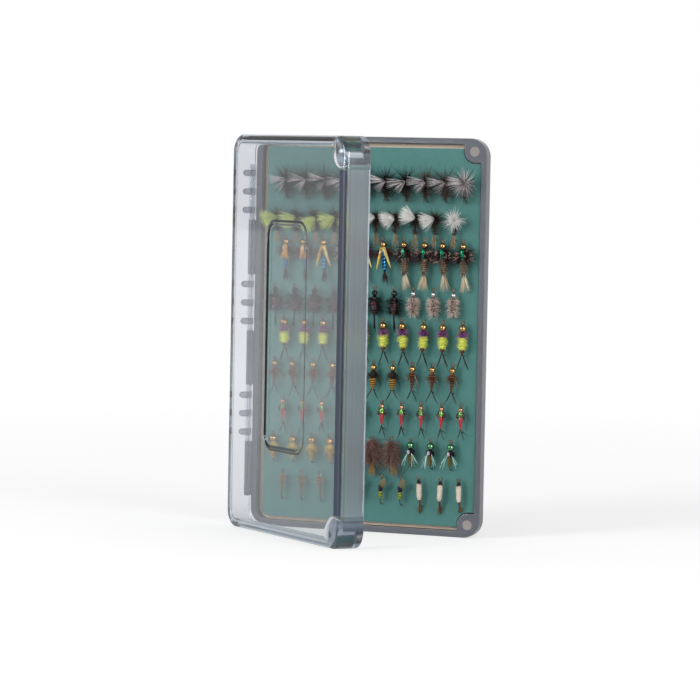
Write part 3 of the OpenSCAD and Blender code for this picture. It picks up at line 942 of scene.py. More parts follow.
def strands(roots, directions, lengths, thick, tints, curl=(0, 0, 0), **ways):
    """Hairs from their roots along their directions, whose tips are moved by curl times the length. No
    hair runs into the mat or the shut lid: each is cut to the room below and above its root."""
    falling, rising = np.maximum(-directions[:, 1], 1e-3), np.maximum(directions[:, 1], 1e-3)
    lengths = np.minimum(lengths, (shank_rise - 0.25 + roots[:, 1]) / falling)
    lengths = np.maximum(np.minimum(lengths, (room_above - roots[:, 1]) / rising), 0.05)[:, None]
    return bent(roots, roots + directions * lengths / 2, roots + (directions + np.array(curl)) * lengths,
                thick, tints, **ways)


def hairs(count, start, stop, root_r, reach, colours, sweep=0.0, splay=0.3, thick=0.08, front=1.0,
          curl=(0, 0, 0.08)):
    """Hairs that stand out all round the shank between two distances from the head. A direction is
    radial, plus sweep down the shank, plus a random part of size splay. front below 1 lays the hairs
    out to the sides, so what lies along the shank stays in sight."""
    turn = rng.uniform(0, 2 * math.pi, count)
    outward = np.stack([np.cos(turn), np.sin(turn), np.zeros(count)], axis=1)
    roots = outward * [root_r, min(root_r, 2.2), 0]
    roots[:, 2] = rng.uniform(start, stop, count)
    loose = rng.normal(0, splay, (count, 3)) + np.array([0, 0, sweep])
    directions = normalised((outward + loose) * [1, front, 1])
    lengths = reach * rng.uniform(0.6, 1.15, count)
    return strands(roots, directions, lengths, thick, mixed(count, colours), curl)


def star(count, centre, reach, colours, thick=0.11, out=0.3, squash=1.0):
    """Hairs that spread from one point over the face of the mat, as a stiff collar seen from the front:
    direction = (squash cos a, out |n|, sin a) with a evenly random and n normal."""
    turn = rng.uniform(0, 2 * math.pi, count)
    directions = normalised(np.stack([squash * np.cos(turn), np.abs(rng.normal(0, out, count)),
                                      np.sin(turn)], axis=1))
    roots = np.array(centre) + rng.normal(0, 0.3, (count, 3)) + 0.4 * directions
    lengths = reach * rng.uniform(0.5, 1.08, count)
    return strands(roots, directions, lengths, thick, mixed(count, colours), (0, 0, 0.03))


def fan(count, root, axis, width, depth, reach, colours, thick=0.07, curl=(0, 0, 0)):
    """Brush of hairs from one root: direction = axis + width * p * side + depth * q * lift, with p and q
    random from -1 to 1."""
    axis = normalised(axis)
    side = normalised(np.cross(axis, [0.0, 1.0, 0.02]))
    lift = np.cross(side, axis)
    spread = rng.uniform(-1, 1, (count, 2)) * [width, depth]
    offset = spread[:, :1] * side + spread[:, 1:] * lift
    lengths = reach * rng.uniform(0.72, 1.08, count)
    return strands(np.array(root) + 0.8 * offset, normalised(axis + offset), lengths, thick,
                   mixed(count, colours), curl)


def wound(profile, colour, thread=None, turns=0.0, relief=0.0, rough=0.0, sides=16, steps=44, edge=0.45):
    """Body wound round the shank. profile lists (distance from the head, radius) and is joined by smooth
    steps. With h = 2 pi turns * share - turn, the radius is multiplied by 1 + relief * cos h, and the
    thread colour shows where cos h is above edge."""
    stations, sizes = np.array(profile, float).T
    down = np.linspace(stations[0], stations[-1], steps)
    piece = np.clip(np.searchsorted(stations, down, side="right") - 1, 0, len(stations) - 2)
    share = (down - stations[piece]) / (stations[piece + 1] - stations[piece])
    share = share * share * (3 - 2 * share)
    radius = sizes[piece] * (1 - share) + sizes[piece + 1] * share
    turn = np.arange(sides) * 2 * math.pi / sides
    helix = np.cos(2 * math.pi * turns * np.linspace(0, 1, steps)[:, None] - turn)
    radii = radius[:, None] * (1 + relief * helix + rough * rng.normal(0, 1, (steps, sides)))
    points = np.stack([radii * np.cos(turn), radii * np.sin(turn),
                       np.repeat(down[:, None], sides, axis=1)], axis=-1)
    index = np.arange(steps * sides).reshape(steps, sides)
    turned = np.roll(index, -1, axis=1)
    walls = np.stack([index[:-1], turned[:-1], turned[1:], index[1:]], axis=-1).reshape(-1, 4)
    tint = np.broadcast_to(linear(*colour), (steps, sides, 3)).copy()
    if thread is not None:
        tint[helix > edge] = linear(*thread)
    tint *= rng.uniform(0.86, 1.14, (steps, sides, 1))
    return points.reshape(-1, 3), [walls, index[:1, ::-1], index[-1:]], tint.reshape(-1, 3)


def dressing(name, scale, amount, bump=0.2, **plain):
    """Finish of a tied material: the piece's own tint, broken up by the grain."""
    material, shader = surface(name, **plain)
    tint = wired(material.node_tree, "Attribute", output="Color", attribute_name="tint")
    grained(material, shader, tint, scale, amount, bump, 0.00003)
    return material


def pressed_in(points):
    """Tied points in metres, bent aside where the shut lid would meet them: past room before the limit,
    the distance x from the middle becomes limit - room + room * tanh((x - limit + room) / room), and a
    point inside the round of a lid boss moves straight out to it."""
    room, slack = 3.0, 0.5
    x, y, z = points.T * 1000
    start = case_w / 2 - lid_wall - slack - room
    over = np.maximum(np.abs(x) - start, 0)
    x = np.sign(x) * (np.minimum(np.abs(x), start) + room * np.tanh(over / room))
    for end in (-1, 1):
        flat = np.stack([x - magnet_x, z - middle_z - end * magnet_y])
        push = np.maximum((lid_boss_r + slack) / np.maximum(np.linalg.norm(flat, axis=0), 0.1), 1.0)
        x, z = flat * push + [[magnet_x], [middle_z + end * magnet_y]]
    return np.stack([x, y, z], axis=1) / 1000


def tie_row(row, makers, name, material, stands_for=()):
    """One piece for a whole row: makers maps columns to what is tied there, a function of the column
    that gives a list of parts."""
    parts = [tied(row, column, part)
             for chosen, maker in makers for column in chosen for part in maker(column)]
    points, faces, tint = gathered(parts)
    return dress(mesh_object(name, pressed_in(points), faces, tint), material, stands_for=stands_for)


hackle_finish = dressing("stiff_hackle", 5000, 0.10, Roughness=0.5, Specular_IOR_Level=0.12)
yarn_finish = dressing("combed_yarn", 5000, 0.06, Roughness=0.6, Specular_IOR_Level=0.2, Sheen_Weight=0.6,
                       Sheen_Roughness=0.6)
feather_finish = dressing("feather", 5000, 0.08, Roughness=0.6, Specular_IOR_Level=0.2, Sheen_Weight=0.1)
dubbing_finish = dressing("dubbing", 6000, 0.16, Roughness=0.7, Specular_IOR_Level=0.12)
thread_finish = dressing("tying_thread", 7000, 0.12, Roughness=0.5, Specular_IOR_Level=0.2)
floss_finish = dressing("glossed_floss", 4000, 0.08, bump=0.1, Roughness=0.3, Coat_Weight=0.35,
                        Coat_Roughness=0.1)
flash_finish = dressing("metal_flash", 5000, 0.2, bump=0.5, Metallic=0.85, Roughness=0.26)


# First row: dry flies. A slim dubbed body, a dark dun hackle wound as a stiff collar, a short tail, and
# pale fan wings laid over to the hinge side. The first fly's wing is spread into a star.
dun = [(70, 57, 52), (46, 37, 35), (96, 82, 75), (122, 107, 99)]
soot = [(26, 21, 21), (36, 30, 29), (18, 15, 15)]
pale_wing = [(246, 236, 238), (222, 210, 213), (255, 250, 250), (190, 176, 180)]
length = shank_len[0]


def fan_wing(column):
    """Two close bundles of pale hairs that leave the head: one to the hinge side, one lower down."""
    tilt, drop = rng.uniform(-0.15, 0.25), rng.uniform(0.5, 1.0)
    return [fan(50, (-0.2, 0.9, 0.5), (-0.95, 0.36, tilt), 0.26, 0.10, 8.8, pale_wing, thick=0.095),
            fan(30, (-0.1, 1.0, 0.7), (-0.62, 0.42, drop), 0.30, 0.12, 6.6, pale_wing, thick=0.09)]


tie_row(0, [(all_columns, lambda column: [
    wound([(0.3, 0.45), (1.4, 0.85), (3.2, 0.75), (length - 0.4, 0.5), (length + 0.4, 0.2)],
          (42, 34, 31), (66, 56, 50), turns=9, relief=0.07)])],
        "dubbed_bodies_row_1", thread_finish, stands_for=["bodies_row_1"])
tie_row(0, [(all_columns, lambda column: [
    star(150 if column else 60, (0, 0.5, 0.8), 8.8, dun if column < 3 else soot, thick=0.12, out=0.35,
         squash=0.8),
    star(110 if column else 40, (0, 0.4, 1.6), 5.4, soot, thick=0.13, out=0.4),
    hairs(190, 0.0, length, 0.6, 3.2, dun, splay=0.5, thick=0.11, front=0.6),
    fan(26, (0, 0, length - 1.0), (0, 0.1, 1), 0.35, 0.2, 5.0, dun, thick=0.07)])],
        "dun_hackles_row_1", hackle_finish, stands_for=["hackles_row_1"])
tie_row(0, [(all_columns, fan_wing),
            ((0,), lambda column: [star(120, (0, 1.1, 1.0), 7.6, pale_wing, thick=0.11, out=0.5),
                                     star(50, (0, 1.6, 1.0), 4.4, dun, thick=0.11, out=0.5)])],
        "fan_wings_row_1", yarn_finish, stands_for=["wings_row_1"])


# Second row: parachute flies. A white yarn post, combed into a brush that leans to the hinge side, is
# bright yellow-green on the flies nearer the hinge. Dark hackle, a thin body and a tan tail follow.
white_yarn = [(255, 254, 252), (250, 247, 242), (234, 228, 219), (255, 255, 254)]
bright_yarn = [(212, 230, 74), (228, 242, 116), (184, 208, 58), (240, 248, 160)]
brown_hackle = [(58, 42, 34), (40, 30, 26), (84, 62, 48)]
tan_fibre = [(176, 146, 110), (148, 118, 86), (196, 172, 138)]
length = shank_len[1]


def yarn_post(column):
    """Brush of yarn: hairs in a cone that opens from the head to its combed end, and some stray ones."""
    colours = white_yarn if column < 5 else bright_yarn
    reach = 7.2 if column < 5 else 8.0
    out, rise = rng.uniform(0.25, 0.5), rng.uniform(-0.5, 0.4)
    root = (-0.1, 0.9, 0.3) if column < 5 else (-0.1, 0.9, 1.2)
    lean = (-0.85, out, rise if column < 5 else rise + 0.7)
    return [fan(200, root, lean, 0.50, 0.30, reach, colours, thick=0.11, curl=(0, 0.05, -0.06)),
            fan(80, root, lean, 0.85, 0.4, reach, colours, thick=0.09)]


tie_row(1, [(all_columns, lambda column: [
    wound([(0.2, 0.4), (1.2, 0.72), (2.6, 0.6), (length - 0.5, 0.42), (length + 0.3, 0.18)],
          (46, 33, 27), (80, 60, 46), turns=8, relief=0.07)])],
        "thread_bodies_row_2", thread_finish, stands_for=["bodies_row_2"])
tie_row(1, [(all_columns, lambda column: [
    star(100 if column else 20, (0.2, 0.4, 0.6), 6.2, brown_hackle, thick=0.12, out=0.35),
    star(110 if column else 20, (0.1, 0.3, 1.4), 3.8, soot, thick=0.13, out=0.4),
    hairs(90, 1.0, length, 0.5, 2.2, brown_hackle, splay=0.5, thick=0.10, front=0.6),
    fan(54, (0, 0, length - 1.2), (rng.uniform(-0.12, 0.12), 0.0, 1), 0.22, 0.1, 7.4, tan_fibre,
        thick=0.11)])],
        "brown_hackles_row_2", hackle_finish, stands_for=["hackles_row_2"])
tie_row(1, [(range(1, columns), yarn_post),
            ((0,), lambda column: [
    star(120, (0, 1.0, 0.9), 6.6, white_yarn, thick=0.10, out=0.5),
    star(170, (0, 1.3, 0.9), 3.9, white_yarn, thick=0.11, out=0.8)])],
        "yarn_posts_row_2", yarn_finish, stands_for=["tufts_row_2"])


# Third row: heavy bead-head nymphs. The free half has ribbed tan bodies under a green metal strip, with
# dark spiky dubbing and a cream tail. The hinge half has split goose biots over a blue metal body.
spiky = [(44, 29, 34), (62, 40, 44), (30, 22, 24), (82, 54, 50)]
pinkish = [(196, 166, 158), (164, 134, 126), (220, 196, 186)]
grizzled = [(166, 144, 120), (122, 102, 84), (196, 176, 150), (84, 66, 54)]
cream_tail = [(250, 236, 206), (232, 212, 176), (176, 148, 114), (254, 246, 228)]
wine_hackle = [(80, 26, 30), (54, 22, 26), (104, 38, 38)]
ribbed_columns, biot_columns, orange_columns = (0, 1, 2, 3, 6), (4, 5, 7), (8, 9)
length = shank_len[2]
behind = 2 * bead_r[2]


def metal_strip(column):
    """Crumpled metal foil: a green strip over the shoulders, or a whole blue body on the biot flies."""
    if column in ribbed_columns:
        part = bent([[0.0, 1.5, behind - 0.3]], [[0.0, 2.5, behind + 2.0]], [[0.0, 1.7, behind + 4.4]], 0.72,
                    linear(6, 118, 84), steps=16, flat=0.35, across=out_of_mat, sides=10,
                    taper=0.15, waist=0.2)
    else:
        part = wound([(behind - 0.1, 0.8), (behind + 1.5, 1.25), (length - 1.5, 1.0), (length, 0.5)],
                     (12, 70, 112), (90, 170, 190), turns=7, relief=0.06, rough=0.05, edge=0.7)
    part[2][:] *= rng.choice([0.35, 0.8, 1.1, 2.2], size=(len(part[2]), 1), p=[0.3, 0.3, 0.25, 0.15])
    return [part]


def split_biots(column):
    """Two flat, pointed quills in a V from the head, or one folded orange wing of five quills."""
    if column in orange_columns:
        ends = np.array([[x, 1.4, behind + 6.2 + 0.3 * abs(x)] for x in (-1.9, -1.0, 0.0, 1.0, 1.9)])
        colours = linear(212, 146, 30)
        thick = 0.72
    else:
        ends = np.array([[-3.4, 1.5, behind + 9.8], [3.9, 1.5, behind + 9.4]])
        colours = np.array([linear(222, 178, 40), linear(232, 206, 120)])
        thick = 0.85
    starts = np.tile([0.0, 0.9, behind - 0.2], (len(ends), 1)) + ends * [0.12, 0, 0]
    return [bent(starts, (starts + ends) / 2 + [0, 0.7, 0], ends, thick, np.broadcast_to(colours, ends.shape),
                 steps=12, flat=0.28, across=out_of_mat, sides=8, waist=0.25)]


tie_row(2, [(ribbed_columns, lambda column: [
    wound([(behind + 3.2, 0.9), (behind + 4.6, 1.3), (length - 3, 1.2), (length - 0.6, 0.85),
           (length + 0.2, 0.4)],
          (160, 136, 110), (62, 44, 38), turns=8, relief=0.12, rough=0.06, steps=56, edge=0.35),
    wound([(behind, 0.6), (behind + 1.0, 1.2), (behind + 3.4, 1.3), (behind + 4.4, 0.9)], (46, 32, 34),
          rough=0.05)])],
        "ribbed_bodies_row_3", thread_finish, stands_for=["bodies_row_3"])
tie_row(2, [(all_columns, metal_strip)], "metal_strips_row_3", flash_finish)
tie_row(2, [(ribbed_columns, lambda column: [
    hairs(230, behind - 0.2, behind + 4.6, 0.9, 6.0, spiky, sweep=0.35, splay=0.45, thick=0.13, front=0.32),
    hairs(40, behind, behind + 5.4, 3.4, 2.3, pinkish, sweep=0.25, splay=0.9, thick=0.25, front=0.35),
    hairs(150, behind + 4.2, length, 1.0, 1.5, grizzled, sweep=0.6, thick=0.10),
    fan(110, (0, 0, length - 1.2), (rng.uniform(-0.14, 0.14), -0.06, 1), 0.26, 0.12, 9.2, cream_tail,
        thick=0.14),
    fan(26, (0, 0.3, length - 1.6), (0, 0, 1), 0.3, 0.12, 3.6, dun, thick=0.13)]),
            (biot_columns + orange_columns, lambda column: [
    hairs(150, behind + 0.2, behind + 3.0, 0.9, 5.4, wine_hackle, sweep=0.45, splay=0.4, thick=0.11,
          front=0.4),
    fan(50, (0, 0, length - 0.5), (0, 0, 1), 0.3, 0.1, 6.4, brown_hackle, thick=0.13)])],
        "spiky_dubbing_row_3", dubbing_finish)
tie_row(2, [(biot_columns + orange_columns, split_biots)], "goose_biots_row_3", floss_finish)


# Fourth row: small grey scuds with a wire rib, then black stonefly nymphs with two beads, red rib and a
# long tail, which go on in the same black towards the hinge.
scud = [(236, 214, 204), (208, 182, 170), (252, 240, 232), (150, 122, 110)]
black_hair = [(16, 16, 20), (26, 26, 30), (10, 10, 13)]
scud_columns, black_columns = (0, 1, 2), range(3, columns)
length = shank_len[3]
behind = 2 * bead_r[3]
pair = 5.3


def wire_rib(start, stop, radius, turns, thick, colour):
    """Wire wound over a body: a helix whose radius bulges as 0.55 + 0.45 sin(pi share), in one tube."""
    share = np.linspace(0, 1, int(14 * turns))
    turn = 2 * math.pi * turns * share
    reach = radius * (0.55 + 0.45 * np.sin(math.pi * share))
    path = np.stack([reach * np.cos(turn), reach * np.sin(turn), start + (stop - start) * share], axis=1)
    return tint_all(tubes(path[None], np.full((1, len(path)), thick), sides=6,
                          across=np.array([0.0, 0.0, 1.0])), linear(*colour))


tie_row(3, [(scud_columns, lambda column: [
    wound([(behind - 0.1, 0.6), (behind + 1.4, 1.15), (length - 1.0, 1.1), (length + 1.0, 0.5)],
          (96, 70, 60), (70, 48, 42), turns=6, relief=0.08, rough=0.05),
    wire_rib(behind + 0.4, length + 0.8, 1.5, 6, 0.15, (100, 50, 38))]),
            (black_columns, lambda column: [
    wound([(pair - 0.3, 1.3), (pair + 1.2, 2.1), (length + 0.2, 1.7), (length + 2.8, 0.5)],
          (11, 11, 14), (128, 22, 34), turns=6, relief=0.08, edge=0.86)])],
        "wound_bodies_row_4", floss_finish, stands_for=["bodies_row_4"])
tie_row(3, [(scud_columns, lambda column: [
    hairs(80, behind + 0.7, behind + 1.5, 0.9, 2.2, scud, sweep=0.1, splay=0.35, thick=0.10, front=0.5),
    hairs(240, behind + 1.2, length - 0.6, 0.9, 3.2, scud, sweep=0.1, splay=0.4, thick=0.10, front=0.4),
    hairs(90, length - 0.8, length + 1.2, 0.8, 2.8, scud, sweep=0.7, splay=0.4, thick=0.10, front=0.5)]),
            (black_columns, lambda column: [
    hairs(200, pair - 2.0, pair + 5.0, 1.4, 3.8, black_hair, sweep=0.3, splay=0.45, thick=0.13, front=0.5),
    fan(14, (0, 0, length + 1.2), (rng.uniform(-0.1, 0.1), -0.1, 1), 0.07, 0.03, 9.0, black_hair,
        thick=0.30)])],
        "fuzzy_dubbing_row_4", dubbing_finish)


# Fifth row: bead-head nymphs with a purple collar, a fuzzy chartreuse abdomen, a brown butt and two
# long forked tails.
purple = [(150, 84, 158), (104, 52, 116), (190, 130, 190), (170, 136, 100)]
chartreuse = [(248, 252, 140), (232, 240, 96), (255, 255, 200), (196, 208, 62)]
dark_fibre = [(50, 30, 25), (70, 42, 32), (34, 22, 19)]
length = shank_len[4]
behind = 2 * bead_r[4]


def forked_tails(root, spread, reach, colours, count=6, thick=0.16):
    """Two slim bundles that leave the end of the body in a V and curve outwards."""
    return [fan(count, root, (side * spread, -0.1, 1), 0.05, 0.03, reach, colours, thick=thick,
                curl=(side * 0.12, 0, 0)) for side in (-1, 1)]


tie_row(4, [(all_columns, lambda column: [
    wound([(behind - 0.1, 1.0), (behind + 1.0, 1.5), (behind + 2.4, 1.4)], (84, 42, 92), rough=0.05),
    wound([(behind + 2.0, 1.2), (behind + 3.6, 1.6), (length - 1.3, 1.4), (length - 0.2, 1.0)],
          (236, 242, 110), (200, 208, 66), turns=5, relief=0.08, rough=0.05),
    wound([(length - 0.8, 1.2), (length + 0.3, 0.95), (length + 1.3, 0.4)], (106, 64, 40), (60, 36, 26),
          turns=4, relief=0.08)])],
        "wound_bodies_row_5", thread_finish, stands_for=["bodies_row_5"])
tie_row(4, [(all_columns, lambda column: [
    hairs(190, behind - 0.2, behind + 2.4, 1.2, 2.0, purple, sweep=0.3, splay=0.5, thick=0.11, front=0.8),
    hairs(190, behind + 2.2, length - 2.0, 1.2, 1.9, chartreuse, sweep=0.4, splay=0.6, thick=0.11, front=0.8),
    hairs(90, length - 2.2, length - 0.8, 1.0, 1.1, chartreuse, sweep=0.7, splay=0.5, thick=0.10, front=0.8),
    *forked_tails((0, 0, length + 0.5), 0.26, 8.8, dark_fibre, thick=0.22)])],
        "fuzzy_dubbing_row_5", dubbing_finish)


# Sixth row: slim pheasant-tail nymphs with tan legs, then golden stonefly nymphs with black wing cases
# and amber bodies ribbed in black, and more of the slim ones near the hinge.
pheasant = [(92, 56, 38), (64, 38, 28), (118, 80, 54)]
slim_columns, amber_columns = (0, 1, 2, 6, 7, 8, 9), (3, 4, 5)
length = shank_len[5]
behind = 2 * bead_r[5]


def legs(root_down, spans, drop, colours, thick=0.12):
    """Pairs of bent legs: each rises from the thorax, kinks at a knee and points back down the body."""
    parts = []
    for pair_number, span in enumerate(spans):
        sides, both = np.array([-1.0, 1.0]), np.ones(2)
        starts = np.stack([sides * 0.8, both * 0.3, both * (root_down + 0.7 * pair_number)], axis=1)
        knees = starts + np.stack([sides * span, both * 0.9, both * (-0.6 + 0.9 * pair_number)], axis=1)
        ends = starts + np.stack([sides * span * 1.15, both * -0.8, both * (drop + 0.8 * pair_number)],
                                 axis=1)
        parts.append(bent(starts, knees, ends + rng.normal(0, 0.3, (2, 3)), thick, mixed(2, colours), steps=7,
                          sides=5, taper=0.6))
    return parts


tie_row(5, [(slim_columns, lambda column: [
    wound([(behind - 0.1, 0.9), (behind + 1.0, 1.3), (behind + 3.0, 1.05), (length - 1.0, 0.75),
           (length + 1.4, 0.4)], (64, 30, 22), (158, 104, 60), turns=7, relief=0.12, rough=0.09, edge=0.84)]),
            (amber_columns, lambda column: [
    wound([(behind - 0.1, 1.0), (behind + 1.3, 1.7), (behind + 3.0, 1.5), (behind + 3.6, 0.9)], (26, 21, 18),
          rough=0.03),
    wound([(behind + 3.2, 1.2), (behind + 4.2, 1.6), (length - 0.2, 1.1), (length + 1.4, 0.45)],
          (188, 136, 42), (30, 22, 15), turns=5, relief=0.10, rough=0.05, edge=0.3)])],
        "wound_bodies_row_6", thread_finish, stands_for=["bodies_row_6"])
tie_row(5, [(slim_columns, lambda column: [
    hairs(60, behind + 0.2, behind + 2.6, 1.0, 3.2, pheasant, sweep=0.8, splay=0.35, thick=0.11, front=0.5),
    *legs(behind + 1.4, (1.7, 2.1), 3.2, tan_fibre),
    *forked_tails((0, 0, length + 0.8), 0.36, 6.8, dark_fibre, thick=0.22)]),
            (amber_columns, lambda column: [
    hairs(60, behind + 0.4, behind + 2.8, 1.3, 2.8, dark_fibre, sweep=0.6, thick=0.11, front=0.6),
    *legs(behind + 1.2, (1.9, 2.4, 2.6), 3.0, dark_fibre, thick=0.16),
    *forked_tails((0, 0, length + 0.8), 0.42, 6.8, dark_fibre, thick=0.22)])],
        "legs_and_tails_row_6", dubbing_finish)


# Seventh row: copper-bead nymphs with a bright green thorax between dark wing pads, a glossy tapered
# red floss abdomen and short forked tails.
length = shank_len[6]
behind = 2 * bead_r[6]


def wing_pads(column):
    """A dark pad on each side of the thorax."""
    ends = np.array([[-1.6, 0.2, behind + 2.8], [1.6, 0.2, behind + 2.8]])
    starts = np.array([[-0.8, 0.1, behind + 0.1], [0.8, 0.1, behind + 0.1]])
    return [bent(starts, (starts + ends) / 2 + [[-0.6, 0.3, 0], [0.6, 0.3, 0]], ends, 0.62,
                 np.tile(linear(26, 20, 16), (2, 1)), steps=8, sides=8, taper=0.4, waist=0.4)]


tie_row(6, [(all_columns, lambda column: [
    wound([(behind + 2.0, 0.85), (behind + 2.9, 1.05), (length - 1.2, 0.68), (length + 0.7, 0.25)],
          (176, 14, 30), (206, 30, 44), turns=7, relief=0.04), *wing_pads(column)])],
        "floss_bodies_row_7", floss_finish, stands_for=["bodies_row_7"])
tie_row(6, [(all_columns, lambda column: [
    wound([(behind - 0.1, 0.8), (behind + 1.0, 1.3), (behind + 2.0, 1.15), (behind + 2.5, 0.7)],
          (66, 164, 54), (190, 226, 130), turns=3, relief=0.06, rough=0.05, edge=0.7)])],
        "green_collars_row_7", flash_finish)
tie_row(6, [(all_columns, lambda column: [
    hairs(30, behind + 0.4, behind + 2.4, 1.1, 2.4, pinkish, sweep=0.8, thick=0.06, front=0.5),
    hairs(60, behind + 0.2, behind + 2.2, 1.0, 1.9, black_hair, sweep=0.7, front=0.2),
    *forked_tails((0, 0, length + 0.2), 0.17, 6.0, dark_fibre, count=5, thick=0.19)])],
        "forked_tails_row_7", hackle_finish)


# Eighth row: emerald-bead midges with a pearl spot and pearl strands, then shaggy brown buggers, and
# gold-bead caddis with yellow ribbed bodies near the hinge.
shaggy = [(156, 118, 104), (118, 88, 78), (196, 160, 144), (84, 62, 58), (146, 124, 124)]
pearl = [(214, 250, 236), (166, 228, 208), (240, 255, 250), (120, 192, 172)]
caddis = [(206, 178, 70), (176, 146, 50), (228, 208, 120)]
midge_columns, shaggy_columns, caddis_columns = (0, 1, 2), (3, 4, 5), (6, 7, 8, 9)
length = shank_len[7]
behind = 2 * bead_r[7]


def pearl_strands(column):
    """Narrow pearl strands that trail from the shoulders to both sides."""
    count = 12
    side = np.repeat([-1.0, 1.0], count // 2)
    ends = np.stack([side * rng.uniform(1.4, 4.4, count), rng.uniform(0.2, 1.6, count),
                     rng.uniform(9.0, 12.6, count)], axis=1)
    starts = np.stack([side * 0.9, np.full(count, 1.1), np.full(count, 5.2)], axis=1)
    strand = bent(starts, (starts + ends) / 2 + np.stack([side * 0.2, np.full(count, 0.6), np.zeros(count)],
                                                         axis=1), ends, 0.08, mixed(count, pearl), steps=9,
                  sides=4, flat=0.5, taper=0.3)
    strand[2][:] *= rng.choice([0.5, 1.0, 1.6], size=(len(strand[2]), 1))
    return [strand]


def pearl_spot(column):
    """A pearl drop of flash at the throat."""
    return [bent([[-0.35, 1.4, behind + 0.7]], [[-0.4, 2.15, behind + 1.2]], [[-0.3, 1.5, behind + 1.9]],
                 0.62, linear(206, 190, 206), steps=8, sides=10, taper=0.1, waist=0.15)]


tie_row(7, [(midge_columns, lambda column: [
    wound([(behind - 0.1, 1.1), (behind + 1.0, 1.75), (behind + 2.2, 1.4), (behind + 2.8, 0.8)], (34, 18, 28),
          rough=0.07),
    wound([(behind + 2.2, 1.0), (behind + 3.2, 1.15), (length - 0.4, 0.85), (length + 1.0, 0.35)],
          (104, 92, 38), (68, 58, 26), turns=7, relief=0.07)]),
            (shaggy_columns, lambda column: [
    wound([(0.2, 0.5), (1.5, 1.0), (length - 1, 0.95), (length, 0.5)], (122, 72, 50), (84, 50, 40), turns=6,
          relief=0.1, rough=0.08)]),
            (caddis_columns, lambda column: [
    wound([(behind - 0.1, 1.0), (behind + 1.5, 1.7), (behind + 2.4, 1.3)], (206, 180, 80), rough=0.04),
    wound([(behind + 2.0, 1.2), (behind + 3.2, 1.65), (length + 1.0, 0.7)], (200, 164, 60), (84, 54, 30),
          turns=5, relief=0.1, edge=0.3)])],
        "wound_bodies_row_8", thread_finish, stands_for=["bodies_row_8"])
tie_row(7, [(midge_columns, lambda column: [
    hairs(130, behind + 0.0, behind + 2.2, 1.3, 1.3, black_hair, sweep=0.3, splay=0.4, front=0.6)]),
            (shaggy_columns, lambda column: [
    hairs(680, 0.3, length + 0.4, 0.7, 5.8, shaggy, sweep=0.2, splay=0.6, thick=0.08, front=0.6,
          curl=(0, 0.1, 0.3)),
    fan(90, (0, 0, length - 0.6), (0.36 - 0.2 * (column - 3), 0, 1), 0.24, 0.14, 7.4,
        [(196, 156, 92), (170, 130, 74), (214, 180, 118)], thick=0.11)]),
            (caddis_columns, lambda column: [
    hairs(90, behind, behind + 2.6, 1.3, 2.6, caddis, sweep=0.8, front=0.7),
    *legs(behind + 1.2, (1.8, 2.2), 3.0, caddis)]),
            ((0, 2), lambda column: [
    bent([[-0.8, 0.9, behind + 2.0]], [[-2.6, 1.6, behind + 3.0]], [[-4.6, 0.3, behind + 5.6]], 0.12,
         linear(70, 96, 84), steps=8, sides=5, taper=0.5)]),
            ((2,), lambda column: [
    bent([[0.2, 0.4, length - 1.8]], [[0.0, 0.2, length + 2.4]], [[-5.0, -0.4, length + 6.4]], 0.17,
         linear(48, 40, 42), steps=12, sides=5, taper=0.6)])],
        "fuzzy_dubbing_row_8", dubbing_finish)
pearl_finish = dressing("pearl_strand", 5000, 0.1, Roughness=0.2, Coat_Weight=0.5)
tie_row(7, [(midge_columns, lambda column: pearl_strands(column) + pearl_spot(column))],
        "pearl_strands_row_8", pearl_finish)


# Ninth row: cream caddis larvae with dark heads and brown tails, bee-striped hoppers with a leaf-shaped
# wing, and slim brown midges near the hinge.
cream = [(246, 234, 220), (226, 208, 190), (250, 242, 232)]
brown_tail = [(140, 104, 66), (108, 78, 50), (168, 130, 88)]
larva_columns, striped_columns, slim_columns = (0, 1, 2), (3, 4, 5, 6), (7, 8, 9)
length = shank_len[8]


def leaf_wing(column):
    """Flat olive-grey leaf beside the head: one wide blade, waisted to a rounded tip, with a midrib."""
    blade = bent([[0.3, 0.8, 3.9]], [[1.3, 1.3, 2.4]], [[1.9, 1.2, 0.1]], 1.15, linear(112, 106, 74),
                 steps=18, flat=0.14, across=out_of_mat, sides=14, taper=0.40, waist=0.75)
    rib = bent([[0.3, 1.0, 4.2]], [[1.2, 1.55, 2.4]], [[2.0, 1.4, 0.0]], 0.12, linear(140, 126, 90), steps=10,
               sides=5)
    return [blade, rib]


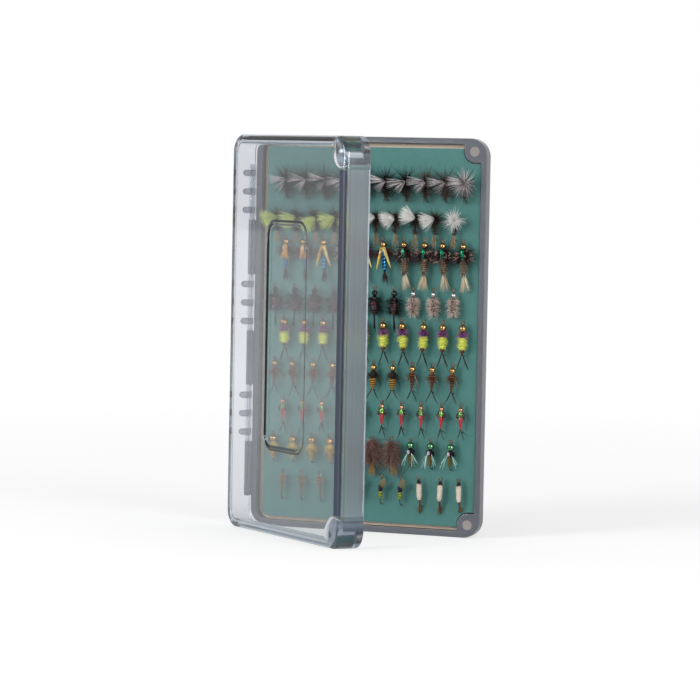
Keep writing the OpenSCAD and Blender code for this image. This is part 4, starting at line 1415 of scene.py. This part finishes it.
def drooping_tail(column):
    """Brown fibres that leave the body's end and hang down onto the mat."""
    count = 60
    starts = np.array([0, 0, 8.4]) + rng.normal(0, 0.28, (count, 3))
    knees = np.array([0, -1.2, 11.2]) + rng.normal(0, 0.3, (count, 3))
    ends = np.array([0.1 - 0.5 * column, -2.55, 14.4]) + rng.normal(0, 1, (count, 3)) * [0.5, 0.12, 0.7]
    return bent(starts, knees, ends, 0.13, mixed(count, brown_tail), steps=5, taper=0.5)


tie_row(8, [(larva_columns, lambda column: [
    wound([(0.0, 0.5), (0.8, 0.95), (1.9, 0.9), (2.2, 0.7)], (34, 24, 20), rough=0.04),
    wound([(1.7, 0.9), (2.6, 1.2), (7.4, 1.12), (9.2, 0.75)], (240, 226, 210), (216, 196, 176), turns=9,
          relief=0.05, rough=0.03)]),
            (striped_columns, lambda column: [
    wound([(3.2, 0.5), (4.2, 1.05), (5.8, 0.95), (6.4, 0.7)], (18, 24, 44), rough=0.03),
    wound([(6.0, 0.75), (6.8, 1.0), (8.6, 0.9), (length - 0.3, 0.45)], (190, 206, 44), (14, 16, 16),
          turns=4.4, relief=0.10, edge=-0.15)]),
            (slim_columns, lambda column: [
    wound([(0.6, 0.5), (2.2, 1.05), (4.0, 0.9), (length, 0.4)], (74, 56, 46), (160, 128, 84), turns=7,
          relief=0.12)])],
        "wound_bodies_row_9", thread_finish, stands_for=["bodies_row_9"])
tie_row(8, [(striped_columns, leaf_wing)], "leaf_wings_row_9", feather_finish)
tie_row(8, [(larva_columns, lambda column: [
    drooping_tail(column),
    hairs(60, 2.2, 8.8, 1.0, 0.7, cream, sweep=0.5, thick=0.06),
    hairs(30, 1.0, 2.2, 0.8, 1.3, brown_tail, sweep=0.8, thick=0.06)]),
            (striped_columns, lambda column: [
    hairs(40, 3.4, 5.8, 0.9, 1.5, dark_fibre, sweep=0.5, thick=0.06)]),
            (slim_columns, lambda column: [
    hairs(60, 1.0, 3.0, 0.8, 2.2, tan_fibre, sweep=0.7, thick=0.07),
    fan(12, (0, 0, length - 0.2), (0, -0.3, 1), 0.15, 0.06, 3.0, dark_fibre)])],
        "tails_and_hackles_row_9", hackle_finish)
